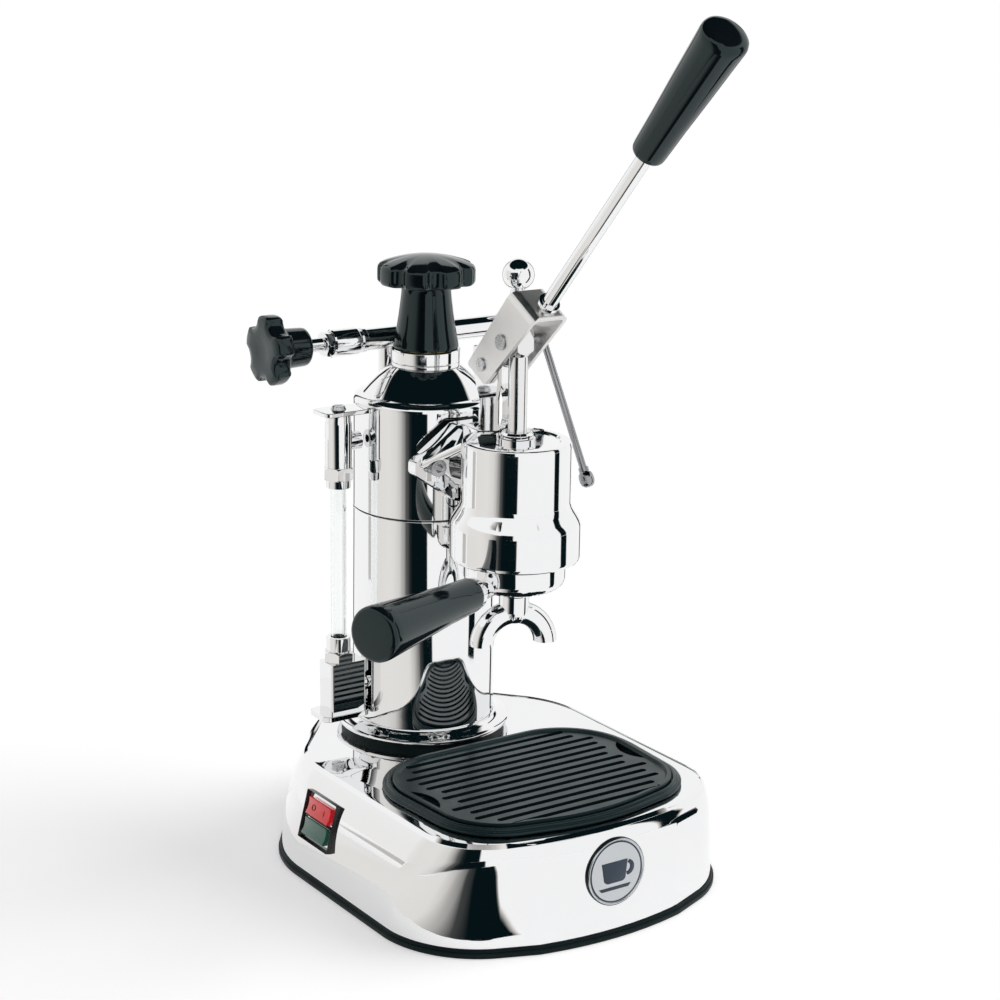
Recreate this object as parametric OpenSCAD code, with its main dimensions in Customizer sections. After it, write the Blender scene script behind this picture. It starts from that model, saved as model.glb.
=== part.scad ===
// Lever espresso machine: chrome base, boiler column, group with hand lever.
// Units mm. +X right, -Y front, +Z up. Boiler axis at x=0 y=0, table at z=0.

/* [Base] */
// Half-width of the base at its foot
base_half_w = 99; // [90:0.1:110]
// Height of the base's top face
base_top = 58.3; // [54:0.1:64]
// Sheet thickness of the base
shell_t = 1.5; // [1:0.1:2.4]
// How far the side walls curl in at the top
side_in = 14; // [10:0.1:18]
// How far the front wall leans back at the top
front_in = 7.5; // [4:0.1:9]
// Distance of the front wall's foot ahead of the boiler axis
base_front = 184.3; // [178:0.1:192]
// Height of the rubber edging
trim_h = 4.5; // [3:0.1:6]
// Radius of the badge disc
badge_r = 18; // [12:0.1:20]

/* [Drip tray] */
// Half-width of the tray's lower rim
tray_half_w = 77; // [70:0.1:80]
// Depth of the bowl below the base top
bowl_depth = 19; // [12:0.1:30]
// Width of a grille slot
slot_w = 3.6; // [2.5:0.1:4.4]
// Number of grille slots
slot_n = 13; // [7:2:13]

/* [Boiler] */
// Outer radius of the boiler
boiler_r = 39.6; // [36:0.1:41]
// Height of the cap's top above the table
cap_top = 325.7; // [310:0.1:350]
// Height of the seam between the two halves
seam_z = 187; // [150:0.1:190]
// Height of the shoulder edge
shoulder_z = 250.5; // [246:0.1:252]
// Top of the filler neck
neck_z = 274.5; // [272:0.1:276]
// Outer radius of the filler neck
neck_r = 18.9; // [17:0.1:18.9]
// Radius of the knob on the cap
cap_knob_r = 26.6; // [22:0.1:28]
// Number of lobes on the cap
cap_lobes = 8; // [6:1:10]

/* [Group] */
// Distance of the group axis ahead of the boiler wall
group_reach = 48.4; // [46.5:0.1:50]
// Radius of the group's upper body
group_r = 28.8; // [28.2:0.1:30]
// Radius of the group's bell
bell_r = 34.4; // [33.4:0.1:36]
// Bore radius of the cylinder sleeve
sleeve_bore = 24.9; // [24:0.1:25]
// Radius of the piston rod
rod_r = 5; // [4:0.1:5.2]
// Angle of the portafilter handle, from +X
handle_a = 201.2; // [180:0.1:215]
// Angle of the spout pair, from +X
spout_a = -16; // [-45:0.1:45]
// Half the distance between the two outlets
spout_half = 17.6; // [16:0.1:21]

/* [Lever] */
// Height of the piston pin
pin_z = 293.8; // [292:0.1:296]
// Rear pin behind the piston pin
rear_dy = 17.8; // [17:0.1:18.4]
// Rear pin below the piston pin
rear_dz = 14.8; // [14:0.1:15.2]
// Radius of the lever rod
lever_r = 4; // [3:0.1:5]
// Length of bare lever rod
lever_len = 122.5; // [100:0.1:130]
// Length of the grip up to its rounded end
grip_len = 75.3; // [60:0.1:80]
// Radius of the grip's end
grip_r = 12; // [10:0.1:13]

/* [Steam] */
// Height of the steam pipe
pipe_z = 276.5; // [275.5:0.1:278]
// Steam pipe behind the boiler axis
pipe_y = 25.4; // [25.2:0.1:27]
// Radius of the steam pipe
pipe_r = 6.2; // [5:0.1:6.2]
// Length of the steam wand
wand_len = 97.7; // [80:0.1:110]
// Radius of the wand tube
wand_r = 2.1; // [1.8:0.1:2.6]

/* [Sight glass] */
// Sight glass axis left of the boiler axis
gauge_x = 55; // [53:0.1:56]
// Radius of the glass tube
glass_r = 4.2; // [3.5:0.1:4.6]

/* [Fits] */
// Radial clearance of turning and sliding fits
run_gap = 0.05; // [0.03:0.01:0.09]
// Gap between separate moving pieces
rest_gap = 0.3; // [0.3:0.05:0.4]
// Radial clearance of assembled, fixed pieces
set_gap = 0.05; // [0.02:0.01:0.08]

/* [Hidden] */
$fn = 64;
e = 0.01;
curl_h = base_top + 3.7;
curl_u = base_top / curl_h;
curl_f = 1 - sqrt(1 - curl_u * curl_u);
lift = cap_top - 325.7;
tray_z = base_top + rest_gap;
tray_cx = tray_half_w - 45;
group_y = boiler_r + group_reach;
flange_y = boiler_r + 3.5;
bell_z = 177.5;
col_chrome = [0.86, 0.87, 0.89];
col_black = [0.06, 0.06, 0.07];
col_brass = [0.80, 0.66, 0.35];
col_steel = [0.70, 0.71, 0.73];
col_rubber = [0.10, 0.10, 0.10];
pipe_a = 90;
lever_a = 42.6;
fork_a = 43.5;
fork_in = 8.7;
fork_out = 11;
ear_in = 5.8;
ear_out = 8.3;
pin_r = 3;
roll_r = 3.2;
rear_y = -group_y + rear_dy;
rear_z = pin_z - rear_dz;
pf_top = 184.3;
screen_z = 184.8;
piston_z = 205;
piston_h = 14;
knob_x = -77;

// share of the full curl reached at height z
function curl(z) = (1 - sqrt(1 - pow(z / curl_h, 2))) / curl_f;
// share of the front wall's lean reached at height z: straight, then bent in
function lean(z) = 0.35 * z / base_top + (z < base_top - 13 ? 0
  : 1.033 * (1 - sqrt(1 - pow((z - base_top + 13) / 14, 2))));
// points of a shallow arc with its foremost point at y = -yf
function arc_pts(w, yf, r) = [for (i = [-5:5])
  [w * i / 5, -yf + r - sqrt(r * r - pow(w * i / 5, 2))]];
// polygon p with its corners rounded to radius r
function unit(v) = v / norm(v);
function corner(a, b, c, r) = let (u = unit(a - b), v = unit(c - b),
  h = acos(u * v) / 2, m = unit(u + v), o = b + m * r / sin(h),
  s = b + u * r / tan(h) - o, t = b + v * r / tan(h) - o)
  [for (i = [0:6]) let (w = unit(s * (6 - i) + t * i)) o + w * r];
function rounded(p, r) = [for (i = [0:len(p) - 1])
  each corner(p[(i + len(p) - 1) % len(p)], p[i], p[(i + 1) % len(p)], r)];

// ---------------------------------------------------------------- base
module base_outline(z, d) {
  k = curl(z);
  f = lean(z);
  r = 56 - 18 * k;
  for (s = [-1, 1]) {
    translate([s * (base_half_w - side_in * k - r), r - base_front + 8.9 + 4.6 * f])
      circle(r - d);
    translate([s * (base_half_w - 68), -31]) circle(68 - side_in * k - d);
  }
  circle(75 - 18 * k - d);
  polygon(concat(arc_pts(44, base_front - front_in * f - d, 190 + 50 * f), [[0, 0]]));
}
module base_solid(d, z0, z1, n) {
  hull() for (i = [0:n])
    let (z = z0 + (z1 - z0) * (1 - pow(1 - i / n, 1.6)))
    translate([0, 0, z - (i == n ? e : 0)]) linear_extrude(e)
      base_outline(z, d);
}
module foot_outline(d) { hull() base_outline(0, d); }
screw_pos = [[-80, -24], [80, -24], [-73, -135], [73, -135], [0, 60]];
module base_shell() color(col_chrome) difference() {
  base_solid(0, 1.6, base_top, 12);
  difference() {
    base_solid(shell_t, 1.5, base_top - shell_t, 12);
    for (p = screw_pos) translate([p[0], p[1], 1.7]) cylinder(r = 4, h = base_top);
  }
  translate([0, 0, base_top - 8]) linear_extrude(12) hull() tray_outline(-6.2);
  translate([0, 0, base_top - 8]) cylinder(r = boiler_r + 0.4, h = 12);
  switch_frame() translate([-25, -13.2, -11.6]) cube([40, 26.4, 23.2]);
  translate([0, 60, 30]) rotate([-90, 0, 0]) cylinder(r = 6.2, h = 30);
  for (p = screw_pos) translate([p[0], p[1], -1])
    cylinder(r = 1.5 + set_gap, h = 10);
}
module base_trim() color(col_rubber) {
  difference() {
    hull() {
      translate([0, 0, 0.5]) linear_extrude(trim_h - 0.8) foot_outline(-1.8);
      linear_extrude(trim_h) foot_outline(-1.4);
    }
    translate([0, 0, 1.6]) linear_extrude(trim_h) foot_outline(-0.03);
    translate([0, 0, -1]) linear_extrude(4) foot_outline(4);
  }
}
module bottom_plate() color(col_black) difference() {
  linear_extrude(1.5) foot_outline(4.1);
  for (p = screw_pos) translate([p[0], p[1], -e]) {
    cylinder(r = 1.5 + set_gap, h = 5);
    cylinder(r1 = 3.4, r2 = 1.5 + set_gap, h = 1.4);
  }
  for (i = [-3:3]) translate([i * 9 - 2, 20, -1]) cube([4, 22, 4]);
}
module plate_screws() color(col_steel)
  for (p = screw_pos) translate([p[0], p[1], 0]) {
    translate([0, 0, 0.1]) cylinder(r1 = 3.2, r2 = 1.5, h = 1.2);
    translate([0, 0, 1.25]) cylinder(r = 1.5, h = 7);
  }
badge_z = 35.7;
badge_lean = 2.6;
module badge_frame() translate([0, -base_front + front_in * lean(badge_z), badge_z])
  rotate([90 - badge_lean, 0, 0]) children();
module badge_disc() color(col_chrome) difference() {
  badge_frame() rotate_extrude() polygon([[0, -2], [badge_r, -2], [badge_r, 0.7],
    [badge_r - 0.5, 1.2], [badge_r - 1.3, 1.2], [badge_r - 1.7, 0.7], [0, 0.7]]);
  base_solid(-0.03, 1, base_top, 12);
}
module badge_emblem() color([0.10, 0.16, 0.26]) badge_frame()
  translate([0, 0, 0.7]) linear_extrude(0.35) {
    polygon(rounded([[-9, 5.5], [-7, -5.5], [5, -5.5], [7, 5.5]], 1.6));
    translate([-11, -9.4]) square([20, 1.6]);
    difference() {
      translate([7.2, 1]) circle(4.2);
      translate([7.2, 1]) circle(2.4);
      translate([-13.2, -4]) square([20, 10]);
    }
  }
// frame of the switch: +X out of the wall, +Y along it, +Z up
switch_y = -48;
switch_z = 36;
switch_x = -(base_half_w - side_in * curl(switch_z));
module switch_frame() translate([switch_x, switch_y, switch_z])
  rotate([0, 0, 180]) rotate([0, -14, 0]) children();
module switch_bezel() color(col_black) switch_frame() difference() {
  union() {
    translate([0.45, -15, -13.2]) cube([1.8, 30, 26.4]);
    translate([-17, -13, -11.4]) cube([18, 26, 22.8]);
  }
  for (s = [-1, 1]) translate([-11, -11.5, s > 0 ? 0.55 : -10.6])
    cube([20, 23, 10.05]);
  for (s = [-1, 1]) translate([0, 0, s * 5.57]) rotate([90, 0, 0])
    cylinder(r = 1.2 + run_gap, h = 24.8, center = true);
}
module rocker(c) color(c) {
  intersection() {
    rotate([90, 0, 0]) linear_extrude(22.2, center = true)
      polygon(rounded([[-7, -3], [1.6, -4.75], [3.1, -4.6], [2.3, 0], [3.1, 4.6],
        [1.6, 4.75], [-7, 3]], 0.4));
    translate([-10, -15, -9.6 / 2]) cube([20, 30, 9.6]);
  }
  rotate([90, 0, 0]) cylinder(r = 1.2, h = 24.2, center = true);
}
module power_rocker() switch_frame() translate([0, 0, 5.57])
  rotate([0, -4, 0]) rocker([0.75, 0.05, 0.05]);
module heat_rocker() switch_frame() translate([0, 0, -5.57])
  rotate([0, -4, 0]) rocker([0.05, 0.35, 0.22]);
module cable_gland() color(col_black) translate([0, 73.5, 30]) rotate([-90, 0, 0])
  rotate_extrude() polygon([[3.4, -12], [6, -12], [6, 0], [8.5, 0], [8.5, 2.5],
    [5.6, 7], [3.4, 7]]);

// ---------------------------------------------------------------- drip tray
module tray_outline(d) {
  for (s = [-1, 1]) {
    translate([s * tray_cx, -94.5]) circle(44 + d);
    translate([s * (tray_cx + 4), -127]) circle(38 + d);
  }
  polygon(concat(arc_pts(34, 171 + d, 120), [[0, -100]]));
}
module tray_slab(z, d, h) translate([0, 0, z]) linear_extrude(h)
  hull() tray_outline(d);
module drip_tray() color(col_black) difference() {
  union() {
    hull() {
      tray_slab(tray_z, 0.2, e);
      tray_slab(tray_z + 0.5, 1, 1.6);
      tray_slab(tray_z + 2.5, 0.2, e);
    }
    hull() {
      tray_slab(tray_z + 2.3, -1.4, e);
      tray_slab(tray_z + 3.3, -1.6, e);
      tray_slab(tray_z + 3.8, -2.2, e);
    }
    hull() {
      tray_slab(tray_z, -7, e);
      tray_slab(tray_z - bowl_depth + 2, -8, e);
      tray_slab(tray_z - bowl_depth, -10, e);
    }
  }
  tray_slab(tray_z + 1.8, -3.9, 5);
  hull() {
    tray_slab(tray_z + 2, -9, e);
    tray_slab(tray_z - bowl_depth + 3.8, -10, e);
    tray_slab(tray_z - bowl_depth + 2, -12, e);
  }
}
grille_z = tray_z + 1.8 + rest_gap;
slot_field = 92;
function half_at(y) = y > -94.5
  ? tray_cx + sqrt(max(0, 44 * 44 - pow(y + 94.5, 2)))
  : (y > -127 ? tray_cx + 43 : tray_cx + 4 + sqrt(max(0, 38 * 38 - pow(y + 127, 2))));
module drip_grille() color(col_black) difference() {
  union() {
    tray_slab(grille_z, -4.3, 1.8);
    difference() {
      hull() {
        tray_slab(grille_z, -4.3, 2.6);
        tray_slab(grille_z, -4.9, 3.2);
      }
      hull() {
        tray_slab(grille_z + 1.8, -7.6, e);
        tray_slab(grille_z + 3.3, -6.6, e);
      }
    }
  }
  for (i = [0:slot_n - 1]) {
    y = -110.5 + slot_field * (i / (slot_n - 1) - 0.5);
    w = half_at(y) - 14.5 - (i % 2) * 4.5 - (abs(y + 107) < 17 ? 4 : 0);
    translate([0, y, grille_z - 1]) {
      translate([-w, -slot_w / 2, 0]) cube([2 * w, slot_w, 6]);
      for (s = [-1, 1]) translate([s * w, 0, 0]) cylinder(r = slot_w / 2, h = 6, $fn = 24);
    }
  }
  for (s = [-1, 1]) translate([0, 0, grille_z - 1]) intersection() {
    translate([s * (tray_half_w + 3), -107, 0]) cylinder(r = 19, h = 6);
    linear_extrude(2.9) hull() tray_outline(-8.2);
  }
}

// ---------------------------------------------------------------- boiler
module boiler_flange() color(col_chrome) rotate_extrude() polygon(rounded([
  [boiler_r + set_gap, base_top + 3.6], [boiler_r + 7.4, base_top + 3.6],
  [boiler_r + 8.6, base_top + 4.5], [boiler_r + 8.6, base_top + 5.6],
  [boiler_r + 7.2, base_top + 6.5], [boiler_r + 3.6, base_top + 7.6],
  [boiler_r + 1.6, base_top + 9.4], [boiler_r + set_gap, base_top + 9.4]], 0.35));
module flange_seal() color(col_rubber) translate([0, 0, base_top]) difference() {
  cylinder(r = boiler_r + 6.2, h = 3.6);
  translate([0, 0, -1]) cylinder(r = boiler_r + set_gap, h = 6);
}
module boiler_lower() color(col_chrome) difference() {
  rotate_extrude() polygon([[21, 50], [boiler_r - 1, 50], [boiler_r, 51],
    [boiler_r, seam_z + lift - 0.7], [boiler_r - 0.4, seam_z + lift - 0.3],
    [boiler_r - 2, seam_z + lift - 0.3], [boiler_r - 2, 53], [21, 53]]);
  translate([-30, 0, 90]) rotate([0, -90, 0]) cylinder(r = 2.2, h = 20);
}
module boiler_seal() color(col_black) translate([0, 0, seam_z - 0.3])
  difference() {
    cylinder(r = boiler_r - 0.9, h = 0.6);
    translate([0, 0, -1]) cylinder(r = boiler_r - 2, h = 4);
  }
module boiler_upper() color(col_chrome) difference() {
  union() {
    rotate_extrude() polygon([[boiler_r - 2, seam_z + 0.3],
      [boiler_r - 0.4, seam_z + 0.3], [boiler_r, seam_z + 0.7],
      [boiler_r, shoulder_z - 3.6], [boiler_r - 0.4, shoulder_z - 2.2],
      [boiler_r - 1.6, shoulder_z - 1], [boiler_r - 3.4, shoulder_z - 0.2],
      [boiler_r - 5.3, shoulder_z], [boiler_r - 9, shoulder_z + 4.4],
      [boiler_r - 13.5, shoulder_z + 9.1], [neck_r + 3, shoulder_z + 12.6],
      [neck_r, shoulder_z + 14.5], [12.5, shoulder_z + 14.5],
      [12.5, shoulder_z + 12], [boiler_r - 15, shoulder_z + 7],
      [boiler_r - 7, shoulder_z - 2], [boiler_r - 2, shoulder_z - 4]]);
    difference() {
      translate([0, 5.6 - boiler_r, 222]) rotate([90, 0, 0])
        linear_extrude(8) flange_shape(0);
      cylinder(r = boiler_r - 1, h = 300);
    }
    translate([-boiler_r + 1, 0, 228]) rotate([0, -90, 0]) cylinder(r = 5, h = 4);
  }
  translate([0, 0, 222]) rotate([90, 0, 0]) cylinder(r = 6, h = 60);
  for (s = [-1, 1]) translate([s * 26, 9.6 - boiler_r, 222]) rotate([90, 0, 0])
    cylinder(r = 2.5 + set_gap, h = 20);
  translate([-30, 0, 228]) rotate([0, -90, 0]) cylinder(r = 2.2, h = 20);
}
module boiler_nut() color(col_brass) translate([0, 0, base_top - shell_t - 6.4])
  difference() {
    cylinder(r = boiler_r + 6, h = 6);
    translate([0, 0, -1]) cylinder(r = boiler_r + set_gap, h = 9);
    for (a = [30:60:330]) rotate([0, 0, a]) translate([boiler_r + 6, 0, -1])
      cylinder(r = 2.5, h = 9, $fn = 24);
  }
module heating_element() color(col_steel) {
  translate([0, 0, 47]) cylinder(r = 25, h = 3);
  translate([0, 0, 49]) cylinder(r = 20.8, h = 5);
  for (z = [78, 92]) translate([0, 0, z]) rotate_extrude()
    translate([24, 0]) circle(3.2, $fn = 32);
  for (s = [-1, 1]) translate([s * 12, 0, 0]) {
    translate([0, 0, 53]) cylinder(r = 3, h = 40);
    translate([s * 6, 0, 92]) rotate([0, 90, 0]) cylinder(r = 3, h = 14, center = true);
    translate([s * 6, 0, 78]) rotate([0, 90, 0]) cylinder(r = 3, h = 14, center = true);
    translate([0, 0, 36]) cylinder(r = 2, h = 12);
    translate([0, 0, 92]) sphere(3.05, $fn = 32);
  }
}
module neck_collar() color(col_chrome) translate([0, 0, shoulder_z + 14.5])
  difference() {
    rotate_extrude() polygon([[12.3, 0], [neck_r - 0.4, 0], [neck_r, 0.5],
      [neck_r, neck_z - shoulder_z - 15.1], [neck_r - 0.6, neck_z - shoulder_z - 14.5],
      [15.5, neck_z - shoulder_z - 14.5], [15.5, neck_z - shoulder_z - 18.5],
      [12.3, neck_z - shoulder_z - 18.5]]);
  }
cap_z = neck_z + rest_gap;
module cap_knob() color(col_black) difference() {
  union() {
    rotate_extrude() polygon([[0, cap_z], [17.2, cap_z], [17.8, cap_z + 0.7],
      [17.8, cap_z + 2], [16.4, cap_z + 10], [14.9, cap_z + 20],
      [13.6, cap_z + 29], [13.3, cap_z + 32.8], [14.2, cap_z + 34.4],
      [17, cap_z + 35.5], [0, cap_z + 35.5]]);
    translate([0, 0, cap_z + 35.2]) cap_head();
  }
  translate([0, 0, cap_z - 1]) cylinder(r = 15.3, h = 2.7);
  translate([0, 0, cap_z - 1]) cylinder(r = 6 + set_gap, h = 16);
}
module cap_head() difference() {
  rotate_extrude() polygon([[0, 0], [cap_knob_r - 1.6, 0], [cap_knob_r, 1.6],
    [cap_knob_r, 8.6], [cap_knob_r - 1.2, 10.4], [cap_knob_r - 5, 12.2],
    [cap_knob_r - 12, 14.2], [cap_knob_r - 19, 15.4], [0, 16]]);
  for (i = [0:cap_lobes - 1]) rotate([0, 0, (i + 0.5) * 360 / cap_lobes])
    translate([cap_knob_r + 2.2, 0, -1]) cylinder(r = 5.2, h = 20, $fn = 40);
}
module cap_plug() color(col_brass) {
  translate([0, 0, neck_z - 9.2]) cylinder(r = 12, h = 8);
  translate([0, 0, neck_z - 1.4]) cylinder(r = 15.1, h = 3);
  translate([0, 0, neck_z]) cylinder(r = 6, h = 14);
}
module cap_gasket() color([0.85, 0.84, 0.80]) translate([0, 0, neck_z - 3.7])
  difference() {
    cylinder(r = 15, h = 2.2);
    translate([0, 0, -1]) cylinder(r = 12 + set_gap, h = 5);
  }

// ---------------------------------------------------------------- sight glass
module hexnut(af, bore, h) difference() {
  intersection() {
    cylinder(r = af / sqrt(3), h = h, $fn = 6);
    rotate_extrude() polygon([[0, 0], [af / 2 + 0.2, 0], [af / sqrt(3), 1],
      [af / sqrt(3), h - 1], [af / 2 + 0.2, h], [0, h]]);
  }
  translate([0, 0, -1]) cylinder(r = bore, h = h + 2);
}
module gauge_at(z) translate([-gauge_x, 0, z + (z > 150 ? lift : 0)]) children();
module gauge_top_plate() color(col_chrome) difference() {
  gauge_at(244) linear_extrude(2.4) polygon(rounded([[-12, -8.5], [21, -8.5],
    [21, 8.5], [-12, 8.5]], 3.5));
  gauge_at(243) cylinder(r = 2 + set_gap, h = 5);
  translate([0, 0, 240 + lift]) cylinder(r = boiler_r + set_gap, h = 9);
}
module gauge_screws() color(col_steel) {
  gauge_at(246.4) difference() {
    cylinder(r1 = 4.2, r2 = 3.2, h = 2);
    translate([-5, -0.5, 1.2]) cube([10, 1, 3]);
  }
  gauge_at(240) cylinder(r = 2, h = 6.5);
  gauge_at(71.7) difference() {
    cylinder(r = 4, h = 1.8);
    translate([-5, -0.5, -1]) cube([10, 1, 1.6]);
  }
  gauge_at(73.4) cylinder(r = 2, h = 6.2);
}
module gauge_fittings() color(col_chrome) {
  gauge_at(215) difference() {
    union() {
      rotate_extrude() polygon([[0, 0], [7.3, 0], [7.3, 24], [6.8, 25],
        [6.8, 29], [0, 29]]);
      translate([3, 0, 13]) rotate([0, 90, 0])
        cylinder(r = 5, h = gauge_x - boiler_r - 6.1);
    }
    translate([0, 0, -1]) cylinder(r = glass_r + set_gap, h = 10);
    translate([0, 0, 4]) cylinder(r = 2.4, h = 14);
    translate([0, 0, 13]) rotate([0, 90, 0]) cylinder(r = 2.2, h = 20);
    translate([0, 0, 24]) cylinder(r = 2 + set_gap, h = 9);
  }
  gauge_at(77) difference() {
    union() {
      translate([0, 0, -0.5]) linear_extrude(28.5) polygon(rounded([[-8.5, -7],
        [gauge_x - boiler_r - 2, -7], [gauge_x - boiler_r - 2, 7], [-8.5, 7]], 1.5));
      translate([5, 0, 13]) rotate([0, 90, 0])
        cylinder(r = 5, h = gauge_x - boiler_r - 5.15);
    }
    translate([0, 0, 20]) cylinder(r = glass_r + set_gap, h = 10);
    translate([0, 0, 10]) cylinder(r = 2.4, h = 14);
    translate([0, 0, 13]) rotate([0, 90, 0]) cylinder(r = 2.2, h = 20);
    translate([0, 0, -2]) cylinder(r = 2 + set_gap, h = 6.5);
  }
}
module gauge_nuts() color(col_chrome) {
  gauge_at(208) hexnut(15.2, glass_r + 0.25, 7);
  gauge_at(203.5) difference() {
    cylinder(r = 6.6, h = 4.5);
    translate([0, 0, -1]) cylinder(r = glass_r + 0.25, h = 7);
  }
  gauge_at(111) difference() {
    cylinder(r = 6.6, h = 8);
    translate([0, 0, -1]) cylinder(r = glass_r + 0.25, h = 10);
  }
  gauge_at(105) hexnut(15.2, glass_r + 0.25, 6);
}
module gauge_glass() color([0.8, 0.9, 0.9, 0.4]) gauge_at(99) difference() {
  cylinder(r = glass_r, h = 122 + lift);
  translate([0, 0, -1]) cylinder(r = glass_r - 1.1, h = 124 + lift);
}
module gauge_seals() color(col_rubber) for (z = [203.6, 117.2]) gauge_at(z)
  difference() {
    cylinder(r = glass_r + 0.2, h = 1.7);
    translate([0, 0, -1]) cylinder(r = glass_r + 0.02, h = 4);
  }
module gauge_bottom_plate() color(col_chrome) gauge_at(73.5) difference() {
  linear_extrude(3) polygon(rounded([[-14, -10], [gauge_x - boiler_r - 0.3, -10],
    [gauge_x - boiler_r - 0.3, 10], [-14, 10]], 4.5));
  translate([0, 0, -3]) cylinder(r = 2 + set_gap, h = 9);
}

// ---------------------------------------------------------------- steam side
module along_x(x) translate([x, pipe_y, pipe_z]) rotate([0, 90, 0]) children();
module steam_manifold() color(col_chrome) difference() {
  union() {
    along_x(-45.5) rotate_extrude() polygon([[0, 0], [7, 0], [7.6, 0.8],
      [7.6, 15.5], [6.9, 16.5], [pipe_r - 0.5, 16.5], [pipe_r - 0.5, 18.5],
      [pipe_r + 0.6, 18.5], [pipe_r + 0.6, 21], [pipe_r, 21.6],
      [pipe_r, 112], [7.4, 113], [8, 114.5], [8, 128.5], [7.4, 129.5], [0, 129.5]]);
    difference() {
      translate([-9, pipe_y, 252]) cylinder(r = 4.6, h = pipe_z - 254);
      translate([0, 0, -e]) rotate_extrude() polygon([[0, 0], [boiler_r, 0],
        [boiler_r - 5.3, shoulder_z + 0.2], [boiler_r - 9, shoulder_z + 4.6],
        [boiler_r - 13.5, shoulder_z + 9.3], [neck_r + 3, shoulder_z + 12.8],
        [neck_r, shoulder_z + 14.7], [neck_r + 0.05, neck_z + 9], [0, neck_z + 9]]);
    }
  }
  along_x(-46) cylinder(r = 2.5 + run_gap, h = 15);
  along_x(-32) cylinder(r = 2.2, h = 105);
  along_x(72) cylinder(r = 4 + run_gap, h = 20);
}
module steam_gland_nut() color(col_chrome) along_x(-49.8) rotate([0, 0, 30])
  hexnut(12.6, 2.5 + run_gap, 4);
module steam_spindle() color(col_chrome) along_x(-71) rotate_extrude()
  polygon([[0, 0], [2.5, 0], [2.5, 10.7], [3.4, 10.7], [3.9, 11.2], [3.9, 20.2],
    [3.4, 20.7], [2.5, 20.7], [2.5, 34], [0.6, 37], [0, 37]]);
module steam_knob() color(col_black) along_x(knob_x) difference() {
  translate([0, 0, -10.6]) rotate_extrude() polygon([[0, 0.8], [10, 0],
    [17.4, 0.6], [18.7, 1.6], [19, 3], [19, 9], [18, 10.5], [12, 11.3],
    [11, 12.4], [10.4, 25.7], [9.5, 26.8], [0, 26.8]]);
  for (i = [0:4]) rotate([0, 0, i * 72]) translate([22.5, 0, -20])
    cylinder(r = 8, h = 20, $fn = 48);
  translate([0, 0, 5.9]) cylinder(r = 2.5 + set_gap, h = 14);
}
module safety_valve() color(col_chrome) translate([78.3, pipe_y, 0]) difference() {
  union() {
    translate([0, 0, pipe_z]) rotate_extrude() polygon([[0, 7.9], [5.6, 7.9],
      [6.3, 8.6], [6.3, 13.5], [5.2, 14.5], [4.4, 20], [0, 20]]);
    translate([0, 0, 304.2]) sphere(9.4);
  }
  translate([0, 0, pipe_z]) rotate([0, 90, 0])
    cylinder(r = 8 + set_gap, h = 30, center = true);
}
module wand_nut() color(col_chrome) along_x(84.1) difference() {
  rotate_extrude() polygon([[0, 0], [6.9, 0], [7.5, 0.7], [7.5, 3.2], [6.6, 4],
    [0, 4]]);
  translate([0, 0, -1]) cylinder(r = 4 + run_gap, h = 9);
}
wand_a = 31.9;
module wand_frame() translate([92, pipe_y, pipe_z]) rotate([180 - wand_a, 0, 0])
  children();
module steam_wand() color(col_chrome) difference() {
  union() {
    along_x(73) cylinder(r = 4, h = 17);
    translate([92, pipe_y, pipe_z]) sphere(5);
    wand_frame() {
      cylinder(r1 = 4.4, r2 = 3.4, h = 8);
      cylinder(r = wand_r, h = wand_len - 3.6);
    }
  }
  along_x(71) cylinder(r = 2, h = 21);
}
module wand_tip() color(col_chrome) wand_frame() translate([0, 0, wand_len])
  difference() {
    rotate_extrude() polygon([[wand_r + set_gap, -7.4], [2.9, -7.4], [2.9, -4.6],
      [3.9, -3.6], [4.3, -1.5], [4.3, 0.8], [3.6, 2.8], [2.2, 4], [0, 4.2],
      [0, -3.5], [wand_r + set_gap, -3.5]]);
    for (a = [0:120:240]) rotate([0, 0, a]) translate([2.2, 0, -2])
      cylinder(r = 0.5, h = 9, $fn = 16);
  }

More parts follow.
